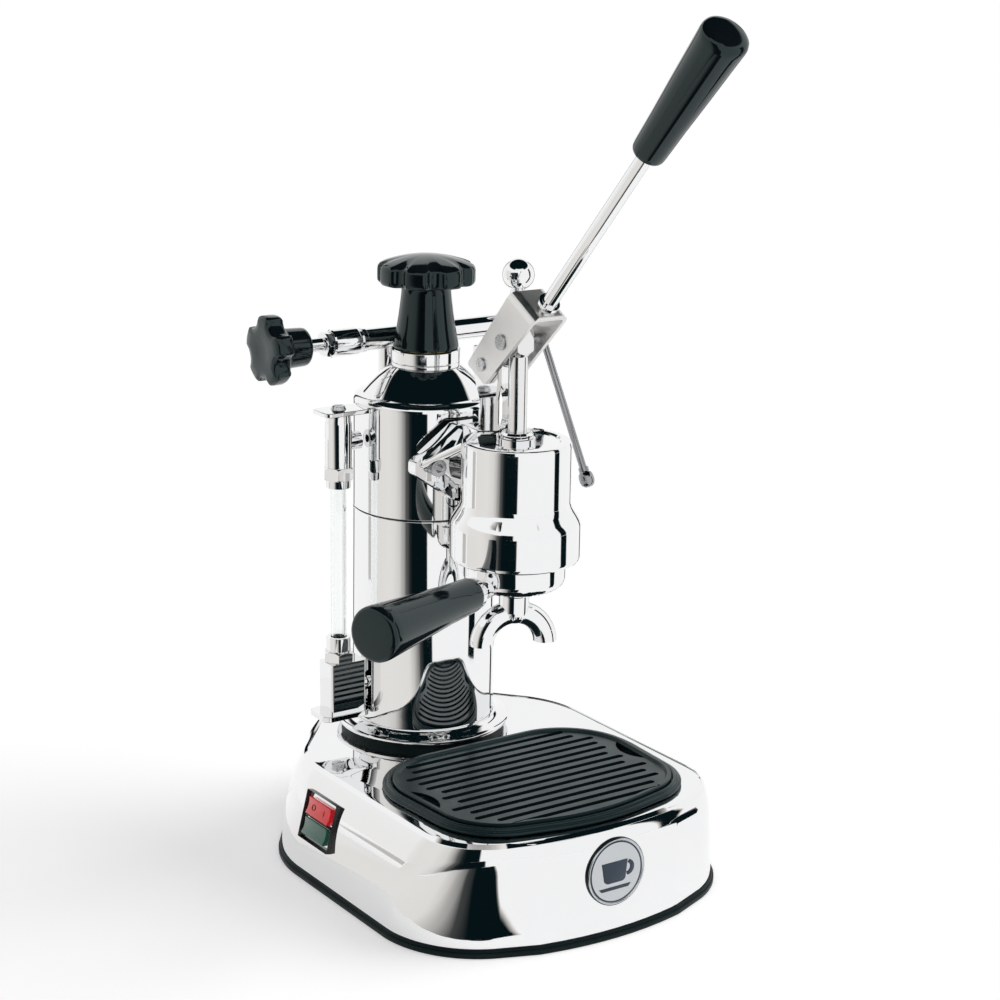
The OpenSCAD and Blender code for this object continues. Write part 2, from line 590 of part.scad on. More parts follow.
// ---------------------------------------------------------------- group
module flange_shape(d) difference() {
  polygon(rounded([[-38 + d, -3], [-38 + d, 3], [-12, 21 - d], [12, 21 - d],
    [38 - d, 3], [38 - d, -3], [12, -21 + d], [-12, -21 + d]], 2.9));
}
module at_group() translate([0, -group_y, 0]) children();
bell_lip = 31;
module group_body() color(col_chrome) difference() {
  union() {
    at_group() rotate_extrude() polygon([[0, bell_z], [bell_r - 2.6, bell_z],
      [bell_r - 0.9, bell_z + 0.7], [bell_r - 0.1, bell_z + 2],
      [bell_r, bell_z + 3.4], [bell_r, 196.2], [bell_r - 0.3, 198],
      [bell_r - 1, 199.9], [bell_r - 2.6, 202.6], [group_r + 1.6, 204.9],
      [group_r + 0.5, 206.9], [group_r, 209.4], [group_r, 239.3],
      [group_r - 0.7, 241], [group_r - 2.2, 241.8], [group_r - 5.5, 241.8],
      [group_r - 6.5, 240.8], [9.6, 240.8], [9.6, 242.6], [0, 242.6]]);
    at_flange(0) linear_extrude(7) flange_shape(0);
    at_flange(6.9) cylinder(r1 = 17, r2 = 14, h = 16);
    for (s = [-1, 1]) hull() {
      at_flange(6.9) translate([s * 32, 2, 0]) cylinder(r = 2.4, h = 1, $fn = 16);
      at_flange(6.9) translate([s * 8, 18, 0]) cylinder(r = 2.4, h = 1, $fn = 16);
      at_flange(24.9) translate([s * 19, 14, 0]) cylinder(r = 3, h = 1, $fn = 16);
      at_flange(20.9) translate([s * 8, 17, 0]) cylinder(r = 2.4, h = 1, $fn = 16);
    }
    hull() {
      at_flange(6.9) translate([0, 17, 0]) cylinder(r = 4, h = 1, $fn = 20);
      at_flange(20.9) translate([0, 18, 0]) cylinder(r = 4, h = 1, $fn = 20);
    }
    for (s = [-1, 1]) translate([s * (ear_in + ear_out) / 2, 0, 0])
      ear_plate();
  }
  at_group() {
    translate([0, 0, 188.9]) cylinder(r = sleeve_bore + 1.55, h = 42.3);
    translate([0, 0, pf_top + 0.2]) cylinder(r = 26.3, h = 8);
    difference() {
      translate([0, 0, bell_z - 1]) cylinder(r = bell_lip, h = pf_top + 1.2 - bell_z);
      for (a = [135, 315]) rotate([0, 0, a + handle_a - 201.2])
        translate([0, 0, bell_z]) rotate_extrude(angle = 115)
          translate([27.5, 0]) square([6, 2.1]);
    }
    translate([0, 0, 230]) cylinder(r = 7.5, h = 20);
    translate([0, 0, 242.6]) cylinder(r = 8.9, h = 3.8);
  }
  at_flange(-0.1) cylinder(r = 6, h = 26);
  for (s = [-1, 1]) at_flange(-3.1) translate([s * 26, 0, 0])
    cylinder(r = 2.5 + set_gap, h = 12);
  for (s = [-1, 1]) at_flange(6.9) translate([s * 26, 0, 0])
    cylinder(r = 6.4, h = 20);
}
module at_flange(d) translate([0, -flange_y - d, 222]) rotate([90, 0, 0]) children();
module ear_plate() rotate([90, 0, 90]) linear_extrude(ear_out - ear_in, center = true)
  difference() {
    polygon(rounded([[rear_y + 8.2, 238], [rear_y - 12.2, 238], [rear_y - 9.6, 249],
      [rear_y - 9.6, 261], [rear_y - 11.4, rear_z - 7], [rear_y - 11.4, rear_z + 8.3],
      [rear_y + 11.6, rear_z + 8.3], [rear_y + 11.6, rear_z - 6],
      [rear_y + 4.4, 258], [rear_y + 4.4, 248]], 2.4));
    polygon(rounded([[rear_y - 9.6, rear_z - 3.6], [rear_y - 9.6, rear_z + 5.3],
      [rear_y + 8.9, rear_z + 5.3], [rear_y + 8.9, rear_z - 3.6]], 2.8));
  }
module group_bolts() color(col_steel) for (s = [-1, 1])
  at_flange(7) translate([s * 26, 0, 0]) {
    difference() {
      cylinder(r = 4.6, h = 4.8);
      translate([0, 0, 1.8]) cylinder(r = 2.4, h = 5, $fn = 6);
    }
    translate([0, 0, -17]) cylinder(r = 2.5, h = 17.5);
  }
module flange_gasket() color(col_rubber) at_flange(-1.1)
  linear_extrude(1.1) difference() {
    flange_shape(1);
    circle(6);
    for (s = [-1, 1]) translate([s * 26, 0]) circle(2.5 + set_gap);
  }
module cylinder_sleeve() color(col_brass) at_group() translate([0, 0, 189])
  difference() {
    cylinder(r = sleeve_bore + 1.5, h = 42);
    translate([0, 0, -1]) cylinder(r = sleeve_bore, h = 50);
    translate([0, 0, 33]) rotate([-90, 0, 0]) cylinder(r = 4, h = 40);
  }
module rod_gland() color(col_chrome) at_group() difference() {
  rotate_extrude() polygon([[0, 231.3], [7.4, 231.3], [7.4, 242.7], [8.6, 242.7],
    [8.6, 244.6], [7.6, 246], [0, 246]]);
  translate([0, 0, 230]) cylinder(r = rod_r + run_gap, h = 20);
}
module piston_rod() color(col_chrome) at_group() difference() {
  union() {
    translate([0, 0, piston_z + 1]) cylinder(r = 3.9, h = piston_h);
    translate([0, 0, piston_z + piston_h]) cylinder(r = rod_r, h = pin_z - piston_z - piston_h - 6);
    translate([0, 0, pin_z - 8.2]) intersection() {
      translate([-5.4, -6.5, 0]) cube([10.8, 13, 15]);
      rotate_extrude() polygon([[0, 0], [5.2, 0], [8.2, 3.4], [8.2, 13], [6.2, 15],
        [0, 15]]);
    }
  }
  translate([0, 0, pin_z]) rotate([0, 90, 0])
    cylinder(r = pin_r + run_gap, h = 40, center = true);
}
module piston() color(col_brass) at_group() translate([0, 0, piston_z]) difference() {
  rotate_extrude() polygon([[3.95, 0], [23, 0], [24.2, 1.2], [24.2, 2.4],
    [21.5, 2.4], [21.5, 4.9], [24.2, 4.9], [24.2, 8.8], [21.5, 8.8], [21.5, 11.3],
    [24.2, 11.3], [24.2, 13], [23, piston_h], [3.95, piston_h]]);
}
module piston_seals() color(col_rubber) at_group() for (z = [2.4, 8.8])
  translate([0, 0, piston_z + z]) difference() {
    cylinder(r = sleeve_bore - run_gap, h = 2.5);
    translate([0, 0, -1]) cylinder(r = 21.5 + set_gap, h = 5);
  }
module shower_screen() color(col_steel) at_group() translate([0, 0, screen_z])
  difference() {
    cylinder(r = 21.4, h = 1.3);
    for (j = [1:3]) for (i = [0:6 * j - 1]) rotate([0, 0, i * 60 / j])
      translate([j * 5.6, 0, -1]) cylinder(r = 1, h = 4, $fn = 12);
  }
module group_gasket() color(col_rubber) at_group() translate([0, 0, screen_z - 0.1])
  difference() {
    cylinder(r = 26.2, h = 4.1);
    translate([0, 0, -1]) cylinder(r = 21.5, h = 7);
  }

// ---------------------------------------------------------------- portafilter
module at_handle() at_group() rotate([0, 0, handle_a]) translate([0, 0, 167.2])
  rotate([0, 90, 0]) children();
module portafilter_body() color(col_chrome) difference() {
  union() {
    at_group() rotate_extrude() polygon([[0, 161.4], [9.6, 161.4], [10.4, 162.2],
      [20.5, 162.4], [24.4, 163.7], [26.4, 166], [27, 169], [27, pf_top],
      [26, pf_top + 0.01], [0, pf_top + 0.01]]);
    at_group() for (a = [90, 270]) rotate([0, 0, handle_a + a - 14])
      translate([0, 0, bell_z + 2.4]) rotate_extrude(angle = 28) translate([24.5, 0])
        square([6.1, 3.6]);
    at_handle() translate([0, 0, 20]) rotate_extrude() polygon([[0, 0], [5.2, 0],
      [5.2, 7], [5.6, 11], [6.8, 14.5], [6.8, 16], [4, 16], [4, 44], [3.4, 44.6],
      [0, 44.6]]);
  }
  at_group() {
    translate([0, 0, 167.4]) cylinder(r = 25.3, h = 30);
    translate([0, 0, 155]) cylinder(r = 4, h = 30);
  }
}
module handle_ferrule() color(col_chrome) at_handle() translate([0, 0, 36.2])
  difference() {
    rotate_extrude() polygon([[0, 0], [7.6, 0], [8.4, 0.8], [8.8, 4], [0, 4]]);
    translate([0, 0, -1]) cylinder(r = 4 + set_gap, h = 9);
  }
module portafilter_handle() color(col_black) at_handle() translate([0, 0, 40.3])
  difference() {
    rotate_extrude() polygon([[0, 0], [8.4, 0], [9.2, 0.8], [9.4, 8], [10.4, 26],
      [12, 48], [13.6, 67.4], [14.3, 76], [14.3, 79.2], [13.4, 81.2], [11.6, 82.1],
      [0, 82.4]]);
    translate([0, 0, -1]) cylinder(r = 4 + set_gap, h = 27);
  }
module filter_basket() color(col_steel) at_group() difference() {
  rotate_extrude() polygon([[0, 169.2], [22.5, 169.2], [23.6, 170.4],
    [24.9, pf_top - 0.5], [25.2, pf_top - 0.5], [25.2, pf_top], [24.1, pf_top],
    [22.8, 170.9], [22.2, 170.1], [0, 170.1]]);
  for (j = [1:3]) for (i = [0:6 * j - 1]) rotate([0, 0, i * 60 / j])
    translate([j * 6, 0, 168]) cylinder(r = 0.8, h = 4, $fn = 12);
}
module basket_spring() color(col_steel) at_group() translate([0, 0, 175])
  rotate([0, 0, handle_a + 20]) rotate_extrude(angle = 320)
    translate([24.72, 0]) circle(0.45, $fn = 16);
module double_spout() color(col_chrome) at_group() rotate([0, 0, spout_a])
  difference() {
    union() {
      rotate_extrude() polygon([[0, 142.6], [5, 143], [7.2, 145], [8.1, 149],
        [8.1, 157.6], [9, 158.3], [9, 161.3], [0, 161.3]]);
      intersection() {
        translate([0, 0, 130.4]) rotate([90, 0, 0]) rotate_extrude()
          translate([spout_half, 0]) circle(6.3, $fn = 48);
        translate([-40, -10, 131]) cube([80, 20, 40]);
      }
    }
    translate([0, 0, 130.4]) rotate([90, 0, 0]) rotate_extrude()
      translate([spout_half, 0]) circle(4.4, $fn = 48);
    translate([0, 0, 148]) cylinder(r = 4, h = 30);
  }

// ---------------------------------------------------------------- lever
module fork_frame() translate([0, -group_y, pin_z]) rotate([fork_a, 0, 0]) children();
module side_extrude(w) rotate([90, 0, 90]) linear_extrude(w, center = true) children();
fork_pts = [[10.9, -33.5], [-6.95, -28], [-9.9, 31.7], [13.2, 25.6]];
web_t = 2.4;
module lever_fork() color(col_chrome) difference() {
  fork_frame() difference() {
    intersection() {
      side_extrude(2 * fork_out) polygon(rounded(fork_pts, 1.6));
      translate([0, -9.9, 31.7]) rotate([-14.8, 0, 0]) rotate([-90, 0, 0])
        translate([0, 0, -10]) linear_extrude(50)
          polygon(rounded([[-fork_out, 0], [fork_out, 0], [fork_out, 90],
            [-fork_out, 90]], 5));
    }
    intersection() {
      side_extrude(2 * fork_in) polygon([[30, -60], [-30, -60],
        [-30, 36.8 - web_t], [30, 21.2 - web_t]]);
      translate([0, -9.9, 31.7 - web_t]) rotate([-14.8, 0, 0]) rotate([-90, 0, 0])
        translate([0, 0, -30]) linear_extrude(90)
          polygon(rounded([[-fork_in, 0], [fork_in, 0], [fork_in, 120],
            [-fork_in, 120]], 3));
    }
  }
  lever_frame() translate([0, 0, -12]) cylinder(r = lever_r + set_gap, h = 40);
  translate([0, -group_y, pin_z]) rotate([0, 90, 0])
    cylinder(r = pin_r + set_gap, h = 60, center = true);
  translate([0, rear_y, rear_z]) rotate([0, 90, 0])
    cylinder(r = pin_r + set_gap - 0.8, h = 60, center = true);
}
module lever_frame() translate([0, -group_y - 19, pin_z + 16]) rotate([lever_a, 0, 0]) children();
module lever_rod() color(col_chrome) lever_frame() {
  translate([0, 0, 1]) cylinder(r = lever_r, h = lever_len + 20);
  translate([0, 0, 8.7]) cylinder(r = lever_r + 1.8, h = 2.2);
}
module lever_grip() color(col_black) lever_frame() translate([0, 0, lever_len])
  difference() {
    rotate_extrude() polygon([[0, 0], [7.6, 0], [8.5, 0.9], [8.7, 4],
      [9.4, grip_len * 0.3], [10.7, grip_len * 0.62], [grip_r - 0.2, grip_len - 4],
      [grip_r, grip_len - 1], [grip_r - 0.3, grip_len + 1.2],
      [grip_r - 1.6, grip_len + 3.2], [grip_r - 4.4, grip_len + 4.4],
      [0, grip_len + 5]]);
    translate([0, 0, -1]) cylinder(r = lever_r + set_gap, h = 22);
  }
module lever_pins() color(col_steel) {
  translate([0, -group_y, pin_z]) rotate([0, 90, 0])
    pin_body(pin_r, pin_r + 1.2);
  translate([0, rear_y, rear_z]) rotate([0, 90, 0])
    pin_body(pin_r - 0.8, pin_r + 0.6);
}
module pin_body(r, rh) {
  cylinder(r = r, h = 2 * fork_out + 1.4, center = true);
  for (s = [-1, 1]) translate([0, 0, s * (fork_out + 0.55)]) difference() {
    cylinder(r = rh, h = 1, center = true);
    translate([0, 0, s * 0.4]) cylinder(r = 1.2, h = 0.5, center = true, $fn = 24);
  }
}
module pin_rollers() color(col_steel) for (s = [-1, 1])
  translate([s * (ear_in + ear_out) / 2, rear_y, rear_z]) rotate([0, 90, 0])
    difference() {
      cylinder(r = roll_r, h = 3, center = true);
      cylinder(r = pin_r - 0.8 + run_gap, h = 5, center = true);
    }

module on_column() translate([0, 0, lift]) children();
base_shell();
base_trim();
bottom_plate();
plate_screws();
badge_disc();
badge_emblem();
switch_bezel();
cable_gland();
power_rocker();
heat_rocker();
drip_tray();
drip_grille();
boiler_flange();
flange_seal();
boiler_lower();
on_column() boiler_upper();
on_column() boiler_seal();
boiler_nut();
heating_element();
on_column() neck_collar();
on_column() cap_knob();
on_column() cap_plug();
on_column() cap_gasket();
gauge_top_plate();
gauge_screws();
gauge_fittings();
gauge_nuts();
gauge_glass();
gauge_seals();
gauge_bottom_plate();
on_column() steam_manifold();
on_column() steam_gland_nut();
on_column() steam_spindle();
on_column() steam_knob();
on_column() safety_valve();
on_column() wand_nut();
on_column() steam_wand();
on_column() wand_tip();
on_column() group_body();
on_column() group_bolts();
on_column() flange_gasket();
on_column() cylinder_sleeve();
on_column() rod_gland();
on_column() piston_rod();
on_column() piston();
on_column() piston_seals();
on_column() shower_screen();
on_column() group_gasket();
on_column() portafilter_body();
on_column() handle_ferrule();
on_column() portafilter_handle();
on_column() filter_basket();
on_column() basket_spring();
on_column() double_spout();
on_column() lever_fork();
on_column() lever_rod();
on_column() lever_grip();
on_column() lever_pins();
on_column() pin_rollers();
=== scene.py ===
"""Lever espresso machine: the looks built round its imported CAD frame."""

import math

import bmesh
import bpy
from mathutils import Matrix, Vector


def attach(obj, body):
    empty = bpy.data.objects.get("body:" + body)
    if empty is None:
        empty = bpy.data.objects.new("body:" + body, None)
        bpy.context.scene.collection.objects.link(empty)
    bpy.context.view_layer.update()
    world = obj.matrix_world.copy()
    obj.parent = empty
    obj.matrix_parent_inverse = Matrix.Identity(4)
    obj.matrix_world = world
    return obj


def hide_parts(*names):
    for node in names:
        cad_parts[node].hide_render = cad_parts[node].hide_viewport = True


bl_info = {
    "name": "Lever Espresso Machine",
    "version": (1, 0, 0),
    "blender": (4, 5, 0),
    "location": "View3D > Sidebar > Espresso",
    "description": "Builds a lever espresso machine, its finishes and a studio stage",
    "category": "Add Mesh",
}

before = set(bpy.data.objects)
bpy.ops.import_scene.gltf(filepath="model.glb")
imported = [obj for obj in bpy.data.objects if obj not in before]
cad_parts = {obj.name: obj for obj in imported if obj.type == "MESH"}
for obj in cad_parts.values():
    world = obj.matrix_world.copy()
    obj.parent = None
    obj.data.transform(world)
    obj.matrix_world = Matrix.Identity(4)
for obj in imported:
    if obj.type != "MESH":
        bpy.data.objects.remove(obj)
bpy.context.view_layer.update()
MM = 0.001
ROUND = 2 * math.pi
SAME_POINT = 1e-7

# places that several pieces share, in millimetres and degrees
GROUP_Y = -88
PIPE_Y = 25.4
PIPE_Z = 276.5
GAUGE_X = -55
SPOUT_Z = 167.2
HANDLE_TURN = 201.2
LEVER_PIN_Y = -107
LEVER_PIN_Z = 309.8
LEVER_TURN = 42.6


# ------------------------------------------------------------------ settings
class BaseSettings(bpy.types.PropertyGroup):
    """Sizes of the base"""

    half_width: bpy.props.FloatProperty(
        name="Half width", description="Half-width of the base at its foot",
        default=0.0990, unit="LENGTH")
    top: bpy.props.FloatProperty(
        name="Top", description="Height of the base's top face",
        default=0.0583, unit="LENGTH")
    side_curl: bpy.props.FloatProperty(
        name="Side curl", description="How far the side walls curl in",
        default=0.0140, unit="LENGTH")
    front_lean: bpy.props.FloatProperty(
        name="Front lean", description="How far the front wall leans back",
        default=0.0075, unit="LENGTH")
    front: bpy.props.FloatProperty(
        name="Front", description="Distance of the front wall's foot from the boiler axis",
        default=0.1843, unit="LENGTH")
    sheet: bpy.props.FloatProperty(
        name="Sheet", description="Thickness of the pressed sheet",
        default=0.0015, unit="LENGTH")


class FinishSettings(bpy.types.PropertyGroup):
    """Colours and finishes"""

    chrome: bpy.props.FloatVectorProperty(
        name="Chrome", description="Colour of the plating", subtype="COLOR",
        default=(0.87, 0.875, 0.88), size=3, min=0, max=1)
    phenolic: bpy.props.FloatVectorProperty(
        name="Handles", description="Colour of the moulded handles and knobs",
        subtype="COLOR", default=(0.004, 0.007, 0.009), size=3, min=0, max=1)
    tray: bpy.props.FloatVectorProperty(
        name="Tray", description="Colour of the drip tray and grille",
        subtype="COLOR", default=(0.005, 0.014, 0.017), size=3, min=0, max=1)
    brass: bpy.props.FloatVectorProperty(
        name="Brass", description="Colour of the bare brass inside",
        subtype="COLOR", default=(0.80, 0.62, 0.30), size=3, min=0, max=1)
    lamp: bpy.props.FloatVectorProperty(
        name="Power rocker", description="Colour of the lit rocker",
        subtype="COLOR", default=(0.62, 0.012, 0.018), size=3, min=0, max=1)
    heat: bpy.props.FloatVectorProperty(
        name="Heat rocker", description="Colour of the lower rocker",
        subtype="COLOR", default=(0.025, 0.14, 0.095), size=3, min=0, max=1)
    enamel: bpy.props.FloatVectorProperty(
        name="Emblem", description="Colour of the badge's enamel",
        subtype="COLOR", default=(0.016, 0.035, 0.065), size=3, min=0, max=1)


class StageSettings(bpy.types.PropertyGroup):
    """Camera and light"""

    lens: bpy.props.FloatProperty(
        name="Lens", description="Focal length on a 36 mm sensor",
        default=84.3, min=10, max=300)
    key_power: bpy.props.FloatProperty(
        name="Key", description="Strength of the large soft light", default=1.5,
        min=0, max=10)
    floor_glow: bpy.props.FloatProperty(
        name="Floor glow", description="How much of the floor's white is its own",
        default=0.44, min=0, max=1, subtype="FACTOR")


def settings():
    """The sizes of the base."""
    return bpy.context.scene.espresso_base


def finishes():
    """The colours of the finishes."""
    return bpy.context.scene.espresso_finish


# ------------------------------------------------------------------ materials
def shader(name):
    """A node material, its tree, its surface shader and its pattern space."""
    mat = bpy.data.materials.new(name)
    mat.use_nodes = True
    tree = mat.node_tree
    surface = tree.nodes["Principled BSDF"]
    space = tree.nodes.new("ShaderNodeTexCoord")
    return mat, tree, surface, space.outputs["Object"]


def pattern(tree, space, scale, low, high, detail=3.0):
    """A soft noise whose value runs from low to high."""
    noise = tree.nodes.new("ShaderNodeTexNoise")
    noise.inputs["Scale"].default_value = scale
    noise.inputs["Detail"].default_value = detail
    tree.links.new(space, noise.inputs["Vector"])
    spread = tree.nodes.new("ShaderNodeMapRange")
    spread.inputs["From Min"].default_value = 0.3
    spread.inputs["From Max"].default_value = 0.7
    spread.inputs["To Min"].default_value = low
    spread.inputs["To Max"].default_value = high
    tree.links.new(noise.outputs["Fac"], spread.inputs["Value"])
    return spread.outputs["Result"], noise.outputs["Fac"]


def bumped(tree, surface, height, strength, distance):
    """Lets a pattern raise and lower the surface."""
    bump = tree.nodes.new("ShaderNodeBump")
    bump.inputs["Strength"].default_value = strength
    bump.inputs["Distance"].default_value = distance
    tree.links.new(height, bump.inputs["Height"])
    tree.links.new(bump.outputs["Normal"], surface.inputs["Normal"])


def metal(name, colour, low, high, scale=60.0, ripple=0.02):
    """Metal whose roughness runs from low to high, with a faint ripple."""
    mat, tree, surface, space = shader(name)
    surface.inputs["Base Color"].default_value = (*colour, 1)
    surface.inputs["Metallic"].default_value = 1.0
    rough, _ = pattern(tree, space, scale, low, high)
    tree.links.new(rough, surface.inputs["Roughness"])
    if ripple:
        _, wave = pattern(tree, space, 14.0, 0, 1, 1.0)
        bumped(tree, surface, wave, ripple, 0.001)
    return mat


def brushed(name, colour, low, high, along=(1, 1, 30)):
    """Metal with fine lines across the axis that `along` stretches."""
    mat, tree, surface, space = shader(name)
    surface.inputs["Base Color"].default_value = (*colour, 1)
    surface.inputs["Metallic"].default_value = 1.0
    mapping = tree.nodes.new("ShaderNodeMapping")
    mapping.inputs["Scale"].default_value = along
    tree.links.new(space, mapping.inputs["Vector"])
    rough, height = pattern(tree, mapping.outputs["Vector"], 220.0, low, high)
    tree.links.new(rough, surface.inputs["Roughness"])
    bumped(tree, surface, height, 0.12, 0.0002)
    return mat


def moulded(name, colour, low, high, grain=900.0, depth=0.03, scale=25.0, shine=0.5,
            sheen=(1, 1, 1)):
    """Moulded plastic or rubber: uneven sheen and a fine grain."""
    mat, tree, surface, space = shader(name)
    surface.inputs["Specular IOR Level"].default_value = shine
    surface.inputs["Specular Tint"].default_value = (*sheen, 1)
    blend = tree.nodes.new("ShaderNodeMix")
    blend.data_type = "RGBA"
    tint, _ = pattern(tree, space, scale, 0, 1)
    tree.links.new(tint, blend.inputs["Factor"])
    blend.inputs["A"].default_value = (*colour, 1)
    blend.inputs["B"].default_value = (*[min(1, c * 1.35 + 0.0015) for c in colour], 1)
    tree.links.new(blend.outputs["Result"], surface.inputs["Base Color"])
    rough, _ = pattern(tree, space, scale * 3, low, high)
    tree.links.new(rough, surface.inputs["Roughness"])
    if depth:
        _, fine = pattern(tree, space, grain, 0, 1, 2.0)
        bumped(tree, surface, fine, depth, 0.0003)
    return mat


def glowing(name, colour, glow, low=0.12, high=0.2):
    """Clear tinted lens of a lit switch."""
    mat = moulded(name, colour, low, high, depth=0)
    surface = mat.node_tree.nodes["Principled BSDF"]
    surface.inputs["Emission Color"].default_value = (*colour, 1)
    surface.inputs["Emission Strength"].default_value = glow
    surface.inputs["Coat Weight"].default_value = 0.6
    return mat


def clear(name, colour):
    """Clear glass."""
    mat, tree, surface, space = shader(name)
    surface.inputs["Base Color"].default_value = (*colour, 1)
    surface.inputs["Transmission Weight"].default_value = 1.0
    surface.inputs["IOR"].default_value = 1.45
    rough, _ = pattern(tree, space, 40.0, 0.0, 0.03)
    tree.links.new(rough, surface.inputs["Roughness"])
    return mat


TEAL_SHEEN = (0.74, 1.0, 1.0)


def make_materials():
    """Every finish of the machine by its plain name."""
    f = finishes()
    return {
        "chrome": metal("chrome", f.chrome, 0.02, 0.05),
        "satin": brushed("satin", (0.56, 0.58, 0.60), 0.16, 0.26, (30, 1, 1)),
        "steel": brushed("steel", (0.62, 0.63, 0.64), 0.18, 0.32),
        "rod_steel": metal("rod_steel", (0.80, 0.80, 0.80), 0.05, 0.10),
        "brass": metal("brass", f.brass, 0.16, 0.34),
        # pipe: chrome of the steam wand painted dark, a painted dark reflection standing in
        # for the dark surroundings it mirrors
        "pipe": metal("pipe_chrome_painted_dark", (0.34, 0.35, 0.36), 0.05, 0.10),
        "phenolic": moulded("phenolic", f.phenolic, 0.05, 0.09, depth=0.01, shine=0.47,
                            sheen=TEAL_SHEEN),
        "tray": moulded("tray_plastic", f.tray, 0.26, 0.36, depth=0.05, shine=0.34,
                        sheen=TEAL_SHEEN),
        "rubber": moulded("rubber", (0.004, 0.009, 0.010), 0.38, 0.50, depth=0.06,
                          shine=0.14, sheen=TEAL_SHEEN),
        "cast": metal("cast_metal", (0.82, 0.815, 0.80), 0.32, 0.40, ripple=0.01),
        "bezel": moulded("bezel", (0.008, 0.008, 0.009), 0.22, 0.32),
        "lamp": glowing("lamp", f.lamp, 0.35),
        "heat": glowing("heat", f.heat, 0.08),
        "enamel": moulded("enamel", f.enamel, 0.12, 0.2, depth=0),
        "gasket": moulded("gasket", (0.66, 0.64, 0.58), 0.5, 0.7),
        "glass": clear("clear_glass", (0.97, 0.985, 0.98)),
        "mark": moulded("mark", (0.20, 0.004, 0.006), 0.2, 0.3, depth=0),
    }


PAINT = {}


# ------------------------------------------------------------------ mesh tools
def vert_ring(bm, points):
    """A closed ring of edges through the points."""
    verts = [bm.verts.new(p) for p in points]
    edges = [bm.edges.new((verts[i - 1], verts[i])) for i in range(len(verts))]
    return verts, edges


def loft(bm, rings, closed=False, cap_start=False, cap_end=False):
    """A skin through rings of points that match one to one."""
    verts, edges = vert_ring(bm, rings[0])
    first = edges
    if cap_start:
        bm.faces.new(verts)
    for points in rings[1:]:
        made = bmesh.ops.extrude_edge_only(bm, edges=edges)["geom"]
        new = [g for g in made if isinstance(g, bmesh.types.BMVert)]
        edges = [g for g in made if isinstance(g, bmesh.types.BMEdge)
                 and g.verts[0] in new and g.verts[1] in new]
        links = {}
        fresh = set(new)
        for v in new:
            for e in v.link_edges:
                other = e.other_vert(v)
                if other not in fresh:
                    links[other] = v
        verts = [links[v] for v in verts]
        for v, p in zip(verts, points):
            v.co = p
    if closed:
        bmesh.ops.bridge_loops(bm, edges=list(first) + list(edges))
    elif cap_end:
        bm.faces.new(verts)
    return verts, edges


def turn(bm, profile, steps=96):
    """Spins a profile of (radius, height) points round Z."""
    verts = [bm.verts.new((r * MM, 0, z * MM)) for r, z in profile]
    edges = [bm.edges.new((verts[i], verts[i + 1])) for i in range(len(verts) - 1)]
    bmesh.ops.spin(bm, geom=verts + edges, cent=(0, 0, 0), axis=(0, 0, 1),
                   dvec=(0, 0, 0), angle=ROUND, steps=steps, use_merge=True)
    bmesh.ops.remove_doubles(bm, verts=bm.verts, dist=SAME_POINT)
    bmesh.ops.recalc_face_normals(bm, faces=bm.faces)


def soften(bm, width, segments=3, sharper_than=32.0):
    """Rounds the edges that are sharper than the angle."""
    limit = math.radians(sharper_than)
    edges = [e for e in bm.edges if len(e.link_faces) == 2
             and e.calc_face_angle(0) > limit]
    if edges:
        bmesh.ops.bevel(bm, geom=edges, offset=width * MM, offset_type="OFFSET",
                        segments=segments, profile=0.5, affect="EDGES",
                        clamp_overlap=True, material=-1)


def finish_mesh(bm, name, body, paint, nodes=(), place=None, sharp=40.0):
    """Turns a bmesh into a piece that rides on a body."""
    if place is not None:
        bm.transform(place)
    bmesh.ops.remove_doubles(bm, verts=bm.verts, dist=SAME_POINT)
    mesh = bpy.data.meshes.new(name)
    bm.to_mesh(mesh)
    bm.free()
    for poly in mesh.polygons:
        poly.use_smooth = True
    mesh.set_sharp_from_angle(angle=math.radians(sharp))
    piece = bpy.data.objects.new(name, mesh)
    bpy.context.scene.collection.objects.link(piece)
    mesh.materials.append(PAINT[paint])
    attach(piece, body)
    if nodes:
        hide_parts(*nodes)
    return piece


def weighted(piece):
    """Shades a piece by its larger faces, so small roundings look smooth."""
    mod = piece.modifiers.new("Normals", "WEIGHTED_NORMAL")
    mod.keep_sharp = True
    mod.weight = 80
    return piece


def pushed_out(bm, points, way):
    """A flat face through the points, pushed out into a block, in millimetres."""
    face = bm.faces.new([bm.verts.new(Vector(p) * MM) for p in points])
    moved = bmesh.ops.extrude_face_region(bm, geom=[face])["geom"]
    bmesh.ops.translate(bm, vec=Vector(way) * MM,
                        verts=[g for g in moved if isinstance(g, bmesh.types.BMVert)])


def turned(name, body, paint, profile, nodes=(), place=None, round_off=0.35,
           steps=96, sharp=40.0):
    """A turned piece: one profile spun round its axis, its edges rounded."""
    bm = bmesh.new()
    turn(bm, profile, steps)
    if round_off:
        soften(bm, round_off)
    return weighted(finish_mesh(bm, name, body, paint, nodes, place, sharp))


def copied(node, body, paint, round_off=0.3, sharp=35.0, segments=2):
    """A cleaned copy of a CAD piece with rounded edges."""
    bm = bmesh.new()
    bm.from_mesh(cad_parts[node].data)
    bmesh.ops.remove_doubles(bm, verts=bm.verts, dist=2e-6)
    bmesh.ops.dissolve_limit(bm, angle_limit=math.radians(1.0), verts=bm.verts,
                             edges=bm.edges)
    piece = finish_mesh(bm, node + "_dressed", body, paint, (node,), None, sharp)
    if round_off:
        mod = piece.modifiers.new("Bevel", "BEVEL")
        mod.width = round_off * MM
        mod.segments = segments
        mod.limit_method = "ANGLE"
        mod.angle_limit = math.radians(sharp)
        mod.harden_normals = False
    return weighted(piece)


